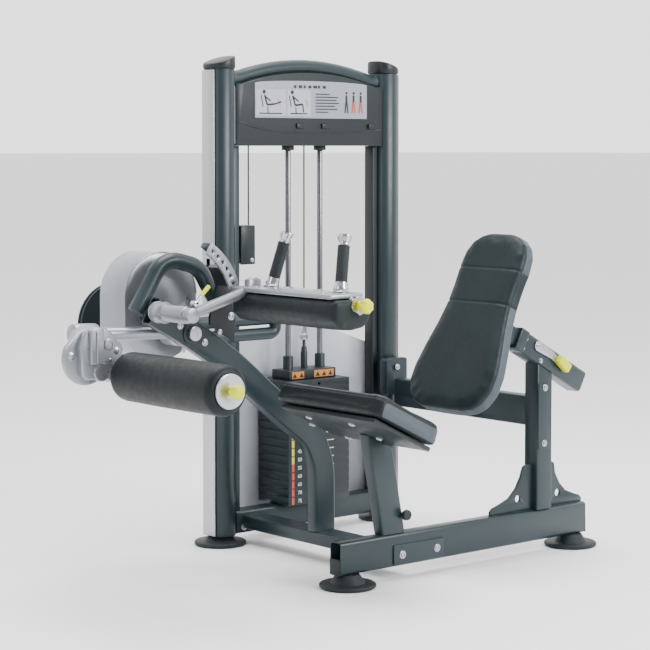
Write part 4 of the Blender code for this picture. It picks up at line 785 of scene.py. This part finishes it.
def figures(name, marks, y, body):  # plain numbers, one height, on the near face
    written = []
    for mark, x, z in marks:
        bpy.ops.object.select_all(action="DESELECT")
        bpy.ops.object.text_add()
        words = bpy.context.object
        words.data.body = mark
        words.data.size = stack["figureSize"]
        words.data.extrude = stack["inkDepth"]
        words.data.align_x = "CENTER"
        words.data.align_y = "CENTER"
        words.data.resolution_u = 3
        selectOnly(words)
        bpy.ops.object.convert(target="MESH")
        words = bpy.context.object
        words.matrix_world = Matrix.Translation((x, 0, z)) @ nearFacing(y)
        written.append(cleanUp(words, name))
    return dress(joined(written, name), body, whiteInk)


movingPlates = ("weight_plate_1", "weight_plate_2", "weight_plate_3")
stripChange = stack["bottom"] + stack["pitch"] * stack["redRows"]
for name, low, high, material in (("stackStripRed", stack["bottom"] + 0.002, stripChange, redFilm),
                                  ("stackStripYellow", stripChange, restHigh.z - 0.001, yellowFilm)):
    rows = []
    at = low
    while at < high - 0.004:
        rows.append(block(name, (stack["strip"][0], stack["face"] - stack["filmDepth"], at),
                          (stack["strip"][1], stack["face"] + stack["filmDepth"],
                           at + stack["pitch"] - stack["stripGap"]), stack["filmEdge"], 1))
        at += stack["pitch"]
    dress(joined(rows, name), "frame", material)
for name in movingPlates:
    low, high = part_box(name)
    top = min(high.z, low.z + 0.0255) - 0.0015
    film = block(name + "Strip", (stack["strip"][0], low.y - stack["filmDepth"], low.z + 0.0015),
                 (stack["strip"][1], low.y + stack["filmDepth"], top), stack["filmEdge"], 1)
    dress(film, "stack", yellowFilm)
# plate numbers, the dashes beside the pin holes, and the holes
restNumbers, restDashes, pinHoles = [], [], []
for row in range(round((restHigh.z - restLow.z) / stack["pitch"])):
    z = stack["bottom"] + stack["pitch"] * (row + 0.5)
    restNumbers.append((str((stack["plates"] - row) * 5), stack["figureX"], z - 0.0008))
    restDashes.append(block("dash", (stack["pinX"] + stack["dash"][0], stack["face"] - 0.0005,
                                     z - 0.0008 - stack["dashHeight"] / 2),
                            (stack["pinX"] + stack["dash"][1], stack["face"] + 0.0005,
                             z - 0.0008 + stack["dashHeight"] / 2), stack["filmEdge"], 1))
    pinHoles.append(turned("pinHole", stack["hole"], (stack["pinX"], stack["face"] - 0.0003, z), near, 20))
figures("stackNumbers", restNumbers, stack["face"] - stack["filmDepth"], "frame")
dress(joined(restDashes, "stackDashes"), "frame", whiteInk)
dress(joined(pinHoles, "stackPinHoles"), "frame", zincBolt)
heights = sorted(sum(corner.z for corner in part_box(name)) / 2 for name in movingPlates)
movingNumbers = [(str(5 * (len(movingPlates) - i)), stack["figureX"], z) for i, z in enumerate(heights)]
figures("movingNumbers", movingNumbers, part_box(movingPlates[0])[0].y - stack["filmDepth"], "stack")
orange = []
for left, right in ((0.214, 0.262), (0.304, 0.384)):
    orange.append(block("orange", (left, topLow.y - 0.0007, topLow.z + 0.004),
                        (right, topLow.y + stack["filmDepth"], topLow.z + 0.0255), stack["filmEdge"], 1))
dress(joined(orange, "topPlateLabels"), "stack", orangeFilm)
triangle = {"half": 0.0085, "foot": 0.0075, "tip": 0.0220}
triangles = []
for x in (0.224, 0.252, 0.318, 0.344, 0.370):
    foot, tip = topLow.z + triangle["foot"], topLow.z + triangle["tip"]
    corners = [(x - triangle["half"], foot), (x + triangle["half"], foot), (x, tip)]
    triangles.append(flatPlate("triangle", [corners], 0.0008, 0.0001, nearFacing(topLow.y - 0.0009)))
dress(joined(triangles, "topPlateTriangles"), "stack", darkInk)
print("stack labelled")

# ---- cable fittings and guide rod collars ----
cableEnd = {"nut": [(0.0060, 0.0), (0.0115, 0.001), (0.0120, 0.004), (0.0120, 0.014), (0.0100, 0.018),
                    (0.0085, 0.019), (0.0085, 0.040), (0.0065, 0.044), (0.0045, 0.046)],
            "ball": [(0.0062, 0.040), (0.0072, 0.044), (0.0072, 0.066), (0.0050, 0.072)]}
fitting = turned("cableFitting", cableEnd["nut"], (stack["pinX"], stack["rodY"], topHigh.z - 0.0005), up, 6)
cableBall = turned("cableBall", cableEnd["ball"], (stack["pinX"], stack["rodY"], topHigh.z), up, 24)
dress(joined([fitting, cableBall], "cableFitting"), "stack", zincBolt)
cableLow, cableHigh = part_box("cable_stack")
cableTop = Vector(((cableLow.x + cableHigh.x) / 2, (cableLow.y + cableHigh.y) / 2, cableHigh.z))
cableFoot = (cableTop.x, cableTop.y, cableLow.z)
liftCable = tube("stackCable", [cableFoot, cableTop], (cableHigh.x - cableLow.x) / 2, 4)
dress(liftCable, "frame", cableJacket, ("cable_stack",))
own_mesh(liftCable)  # the cable gets a mesh of its own; the real cable's upper end winds on to the pulley
collarShape = {"rings": [(0.0092, 0.0), (0.0185, 0.0005), (0.0195, 0.002), (0.0195, 0.013), (0.0185, 0.0145),
                         (0.0092, 0.015)], "height": 1.208}
rodCollars = []
for rod in ("guide_rod_left", "guide_rod_right"):
    low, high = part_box(rod)
    place = ((low.x + high.x) / 2, stack["rodY"], collarShape["height"])
    rodCollars.append(turned("rodCollar", collarShape["rings"], place, up, 32))
dress(joined(rodCollars, "rodTopCollars"), "frame", blackRubber)
print("cable and rods made")

# ---- head panel: placard with generic pictograms, pressed line, tabs ----
placLow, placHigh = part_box("placard")
placard = {"arch": 0.010, "corner": 0.002, "face": placLow.y, "inkDepth": 0.0008, "edge": 0.0002,
           "tileLow": 0.006, "tileHigh": 0.018,
           "tiles": ((0.004, 0.122), (0.127, 0.222)), "lineX": 0.312, "linePitch": 0.0094,
           "lines": (0.058, 0.094, 0.086, 0.097, 0.079, 0.090, 0.052), "titleX": 0.224, "titlePitch": 0.0195,
           "title": (0.010, 0.014, 0.008, 0.012, 0.016, 0.009, 0.013), "standing": (0.440, 0.470, 0.500)}
middleX = (placLow.x + placHigh.x) / 2
halfX = (placHigh.x - placLow.x) / 2
shoulder = placHigh.z - placard["arch"]
archLine = [(middleX + halfX * math.cos(a), shoulder + placard["arch"] * math.sin(a))
            for a in [math.radians(d) for d in range(10, 171, 10)]]
outline = ([(placLow.x + placard["corner"], placLow.z), (placHigh.x - placard["corner"], placLow.z),
            (placHigh.x, placLow.z + placard["corner"]), (placHigh.x, shoulder)] + archLine
           + [(placLow.x, shoulder), (placLow.x, placLow.z + placard["corner"])])
placardPlate = flatPlate("placardPlate", [outline], placHigh.y - placLow.y, 0.0004,
                         nearFacing((placHigh.y + placLow.y) / 2))
dress(placardPlate, "frame", placardGrey, ("placard",))
face = placard["face"]
tiles = [(placLow.x + left, placLow.x + right, placLow.z + placard["tileLow"], shoulder - placard["tileHigh"])
         for left, right in placard["tiles"]]
tilePieces = [block("tile", (left, face - 0.0006, low), (right, face + 0.0004, high), placard["edge"], 1)
              for left, right, low, high in tiles]
dress(joined(tilePieces, "placardTiles"), "frame", tileGrey)


def strokes(lines, thickness):  # plain bars, each from one point of the placard to another
    pieces = []
    for start, stop in lines:
        across, rise = stop[0] - start[0], stop[1] - start[1]
        turn = Matrix.Translation((start[0], face - placard["inkDepth"], start[1])) @ \
            Matrix.Rotation(math.atan2(across, rise), 4, "Y")
        pieces.append(block("stroke", (-thickness / 2, -0.0004, 0),
                            (thickness / 2, 0.0004, math.hypot(across, rise)), placard["edge"], 1, turn))
    return pieces


def dot(x, z, radius):
    return turned("head", [(radius, -0.0004), (radius, 0.0004)], (x, face - placard["inkDepth"], z), near, 20)


inkPieces, redPieces = [], []
for index, (left, right, low, high) in enumerate(tiles):
    x, z = (left + right) / 2 - 0.016, low + 0.034  # the hips of a seated figure
    knee = (x + 0.030, z + 0.003)
    foot = (x + 0.056, z + 0.010) if index == 0 else (x + 0.034, z - 0.022)
    inkPieces += strokes([((x, z), (x - 0.010, z + 0.030)), ((x, z), knee)], 0.0062)
    inkPieces += strokes([((x - 0.009, z + 0.026), (x + 0.014, z + 0.012)), (knee, foot)], 0.0046)
    inkPieces.append(dot(x - 0.012, z + 0.040, 0.0062))
    inkPieces += strokes([((left + 0.012, low + 0.008), (right - 0.016, low + 0.008)),
                          ((x + 0.004, low + 0.008), (x + 0.002, z - 0.006)),
                          ((x - 0.016, z - 0.006), (x - 0.024, z + 0.030))], 0.0036)
    redPieces += strokes([((knee[0] + 0.012, knee[1] + 0.016), (knee[0] + 0.022, knee[1] - 0.004))], 0.0026)
for row, length in enumerate(placard["lines"]):  # plain bars where a table of text would be
    x, z = placard["lineX"], shoulder - 0.030 - row * placard["linePitch"]
    inkPieces += strokes([((x, z), (x + length, z))], 0.0032)
for mark, length in enumerate(placard["title"]):  # a row of plain marks
    x, z = placard["titleX"] + mark * placard["titlePitch"], shoulder - 0.008
    inkPieces += strokes([((x, z), (x + length, z))], 0.0085)
for middle in placard["standing"]:  # small standing figures, the working muscles in red
    z = placLow.z + 0.052
    inkPieces += strokes([((middle, z), (middle, z + 0.022))], 0.0075)
    inkPieces.append(dot(middle, z + 0.029, 0.0040))
    legs = redPieces if middle > 0.45 else inkPieces
    legs += strokes([((middle + side * 0.002, z), (middle + side * 0.006, z - 0.034)) for side in (-1, 1)],
                    0.0050)
dress(joined(inkPieces, "placardPrint"), "frame", darkInk)
dress(joined(redPieces, "placardRed"), "frame", redFilm)

panel = {"rib": [(0.010, 1.296), (0.060, 1.281), (0.120, 1.270), (0.183, 1.264), (0.260, 1.261), (0.340, 1.261),
                 (0.420, 1.263), (0.500, 1.267), (0.586, 1.274)], "ribRadius": 0.0022,
         "tabs": (0.251, 0.354, 0.550), "tabHalf": 0.016, "tabHeight": (1.276, 1.292)}
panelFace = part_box("head_panel")[0].y
rib = tube("panelRib", [(x, panelFace + 0.0004, z) for x, z in panel["rib"]], panel["ribRadius"])
tabs = [block("panelTab", (x - panel["tabHalf"], panelFace - 0.0060, panel["tabHeight"][0]),
              (x + panel["tabHalf"], panelFace + 0.001, panel["tabHeight"][1]), 0.0028) for x in panel["tabs"]]
dress(joined([rib] + tabs, "panelDetail"), "frame", darkCoatAndShade)
print("head panel detailed")

# ---- frame hardware and trims ----
beamTrim = {"capIn": 0.004, "capOut": 0.0035, "capSide": 0.0008, "capLow": 0.0395, "capHigh": 0.0845,
            "plateX": (0.018, 0.212), "plateZ": (0.044, 0.100), "plateOut": 0.0055, "edge": 0.0022}
beamLow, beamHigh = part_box("seat_beam")
ends = [block("beamEnd", (left, beamLow.y + beamTrim["capSide"], beamTrim["capLow"]),
              (right, beamHigh.y - beamTrim["capSide"], beamTrim["capHigh"]), beamTrim["edge"])
        for left, right in ((beamLow.x - beamTrim["capOut"], beamLow.x + beamTrim["capIn"]),
                            (beamHigh.x - beamTrim["capIn"], beamHigh.x + beamTrim["capOut"]))]
dress(joined(ends, "beamEndCaps"), "frame", blackRubber)
plateX, plateZ = beamTrim["plateX"], beamTrim["plateZ"]
beamPlate = block("beamBoltPlate", (plateX[0], beamLow.y - beamTrim["plateOut"], plateZ[0]),
                  (plateX[1], beamLow.y + 0.0006, plateZ[1]), beamTrim["edge"])
dress(beamPlate, "frame", graphiteCoat)

postTrim = {"outline": [(0.598, 0.320), (0.602, 0.316), (0.637, 0.316), (0.641, 0.320), (0.641, 0.509),
                        (0.637, 0.513), (0.602, 0.513), (0.598, 0.509)], "thickness": 0.005,
            "bolts": ((0.626, 0.499), (0.623, 0.332))}
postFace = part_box("rear_post")[0].y
postPlate = flatPlate("postPlate", [postTrim["outline"]], postTrim["thickness"], 0.0012,
                      nearFacing(postFace - 0.0015))
dress(postPlate, "frame", graphiteCoat)
bolts("rearPostBolts", "frame", [((x, postFace - 0.0038, z), near, 0.0075) for x, z in postTrim["bolts"]])
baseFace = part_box("tower_base_beam")[0].y
bolts("frameBolts", "frame", [((0.613, 0.3455, 0.508), near, 0.007),
                              ((0.034, baseFace + 0.0002, 0.050), near, 0.0085),
                              ((0.051, beamLow.y - 0.0053, 0.071), near, 0.0085),
                              ((0.185, beamLow.y - 0.0053, 0.073), near, 0.0085),
                              ((0.070, 0.4138, 0.871), near, 0.005)])

# the adjuster tube's collar and end plug, on the middle of the tube
tubePlace = Matrix.Translation((adjuster["origin"].x, adjuster["middleY"], adjuster["origin"].z))
tubePlace.col[0][:3] = slopeAlong
tubePlace.col[2][:3] = slopeUp
tubeCollar = {"low": (-0.004, -0.034, -0.0335), "high": (0.034, 0.034, 0.0335), "edge": 0.004}
tubePlug = {"low": (0.311, -0.0275, -0.0285), "high": (0.3195, 0.0275, 0.0285), "edge": 0.002}
headCollar = block("adjusterCollar", tubeCollar["low"], tubeCollar["high"], tubeCollar["edge"], 3, tubePlace)
adjusterEnd = block("adjusterEnd", tubePlug["low"], tubePlug["high"], tubePlug["edge"], 3, tubePlace)
dress(headCollar, "frame", graphiteCoat)
dress(adjusterEnd, "frame", blackRubber)

footStud = [(0.016, -0.001), (0.016, 0.003), (0.0085, 0.0035), (0.0085, 0.0105)]
feet = []
for node in ("foot_tower_left", "foot_tower_right", "foot_seat_front", "foot_seat_rear"):
    low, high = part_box(node)
    feet.append(turned("footStud", footStud, ((low.x + high.x) / 2, (low.y + high.y) / 2, high.z), up, 6))
dress(joined(feet, "footStuds"), "frame", zincBolt)

postKnob = {"rings": [(0.006, -0.002), (0.008, 0.004), (0.014, 0.007), (0.0155, 0.012), (0.0145, 0.018),
                      (0.0090, 0.0205)], "place": (0.062, -0.2843, 0.183)}
dress(turned("postKnob", postKnob["rings"], postKnob["place"], near, 32), "frame", blackRubber)

coverLip = {"rod": 0.0028, "inset": 0.0012, "steps": 40}  # the rolled edge round the near side of the cover
coverLow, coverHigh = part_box("cam_cover")
coverRadius = (coverHigh.x - coverLow.x) / 2
lipTurns = [math.pi * step / coverLip["steps"] for step in range(coverLip["steps"] + 1)]
lipReach = coverRadius - coverLip["inset"]
lipX, lipZ = (coverLow.x + coverHigh.x) / 2, coverHigh.z - coverRadius
lip = tube("coverLip", [(lipX + lipReach * math.cos(turn), coverLow.y + coverLip["inset"],
                         lipZ + lipReach * math.sin(turn)) for turn in lipTurns], coverLip["rod"])
dress(lip, "frame", silverCoat)

thighScrews = {"edge": ((-0.342, -0.122), (-0.342, -0.405), (-0.278, -0.205), (-0.278, -0.330)),
               "edgeZ": 0.8349, "block": ((-0.321, -0.0715), (-0.299, -0.0715))}
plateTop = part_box("thigh_plate")[1].z
bolts("thighPlateScrews", "thigh_unit",
      [((x, y, thighScrews["edgeZ"]), up, 0.0065) for x, y in thighScrews["edge"]])
bolts("plateBlockBolts", "thigh_unit",
      [((x, y, plateTop - 0.0002), up, 0.0050) for x, y in thighScrews["block"]])

seatBolts = {"spots": ((-0.075, -0.060, 0.45), (0.008, -0.129, 0.43), (-0.048, -0.310, 0.424),
                       (-0.150, -0.310, 0.47), (-0.150, -0.129, 0.47)), "radius": 0.0085}
panLow = min(v.co.dot(seatUp) for v in nodes["seat_pan"].data.vertices)
underSeat = []
for spot in map(Vector, seatBolts["spots"]):  # each moved along the seat's slope on to the pan's underside
    spot -= seatUp * (spot.dot(seatUp) - panLow)
    underSeat.append((spot, -seatUp, seatBolts["radius"]))
bolts("seatUnderBolts", "frame", underSeat)
print("frame hardware made")

# ---- floor, light, camera ----
studio = {"floor": "#f5f5f5", "floorSize": 600, "wayLight": (0.6468, 0.7627, 0.1), "dim": 0.55, "bright": 2.3}
floorFinish, floorShader = startFinish("paleStudioFloor", 0.8)
floorShader.inputs["Base Color"].default_value = linear(studio["floor"])
bpy.ops.object.select_all(action="DESELECT")
bpy.ops.mesh.primitive_plane_add(size=studio["floorSize"], location=(0, 0, -0.0005))
floor = bpy.context.object
floor.name = "studioFloor"
floor.data.materials.append(floorFinish)

world = bpy.data.worlds.new("studio")
bpy.context.scene.world = world
world.use_nodes = True
# a pale room, brighter beyond the tower than on the seat's near side
skyWay = addNode(world, "ShaderNodeTexCoord", give="Generated")
skyShare = addNode(world, "ShaderNodeVectorMath", {"operation": "DOT_PRODUCT"},
                   {0: skyWay, 1: studio["wayLight"]}, "Value")
skyPower = addNode(world, "ShaderNodeMapRange", inputs={
    "Value": skyShare, "From Min": -0.8, "From Max": 0.6, "To Min": studio["dim"], "To Max": studio["bright"]})
world.node_tree.links.new(skyPower, world.node_tree.nodes["Background"].inputs["Strength"])
world.node_tree.nodes["Background"].inputs["Color"].default_value = (1, 1, 1, 1)


def softbox(name, place, aim, size, power):
    light = bpy.data.lights.new(name, "AREA")
    light.shape = "RECTANGLE"
    light.size, light.size_y = size
    light.energy = power
    lamp = bpy.data.objects.new(name, light)
    bpy.context.scene.collection.objects.link(lamp)
    lamp.location = place
    lamp.rotation_euler = (Vector(aim) - Vector(place)).to_track_quat("-Z", "Y").to_euler()


softbox("keyLight", (1.6, -4.4, 2.6), (0.1, 0, 0.7), (2.4, 1.8), 250)
softbox("fillLight", (-4.6, -0.6, 2.4), (0, 0, 0.7), (1.2, 2.2), 35)
softbox("topLight", (0.1, 0.2, 4.6), (0.1, 0, 0.6), (2.6, 2.6), 210)

view = {"place": (-3.6996, -4.3774, 1.22), "heading": (0.6468, 0.7627), "down": math.radians(2.90),
        "lens": 109.9, "sensor": 36, "shift": -0.12, "farthest": 800}
lens = bpy.data.cameras.new("viewCamera")
lens.sensor_width = view["sensor"]
lens.lens = view["lens"]
lens.shift_y = view["shift"]
lens.clip_end = view["farthest"]
camera = bpy.data.objects.new("viewCamera", lens)
bpy.context.scene.collection.objects.link(camera)
camera.location = view["place"]
level = math.cos(view["down"])
look = Vector((view["heading"][0] * level, view["heading"][1] * level, -math.sin(view["down"])))
camera.rotation_euler = look.to_track_quat("-Z", "Y").to_euler()
bpy.context.scene.camera = camera
print("floor, lights and camera set")
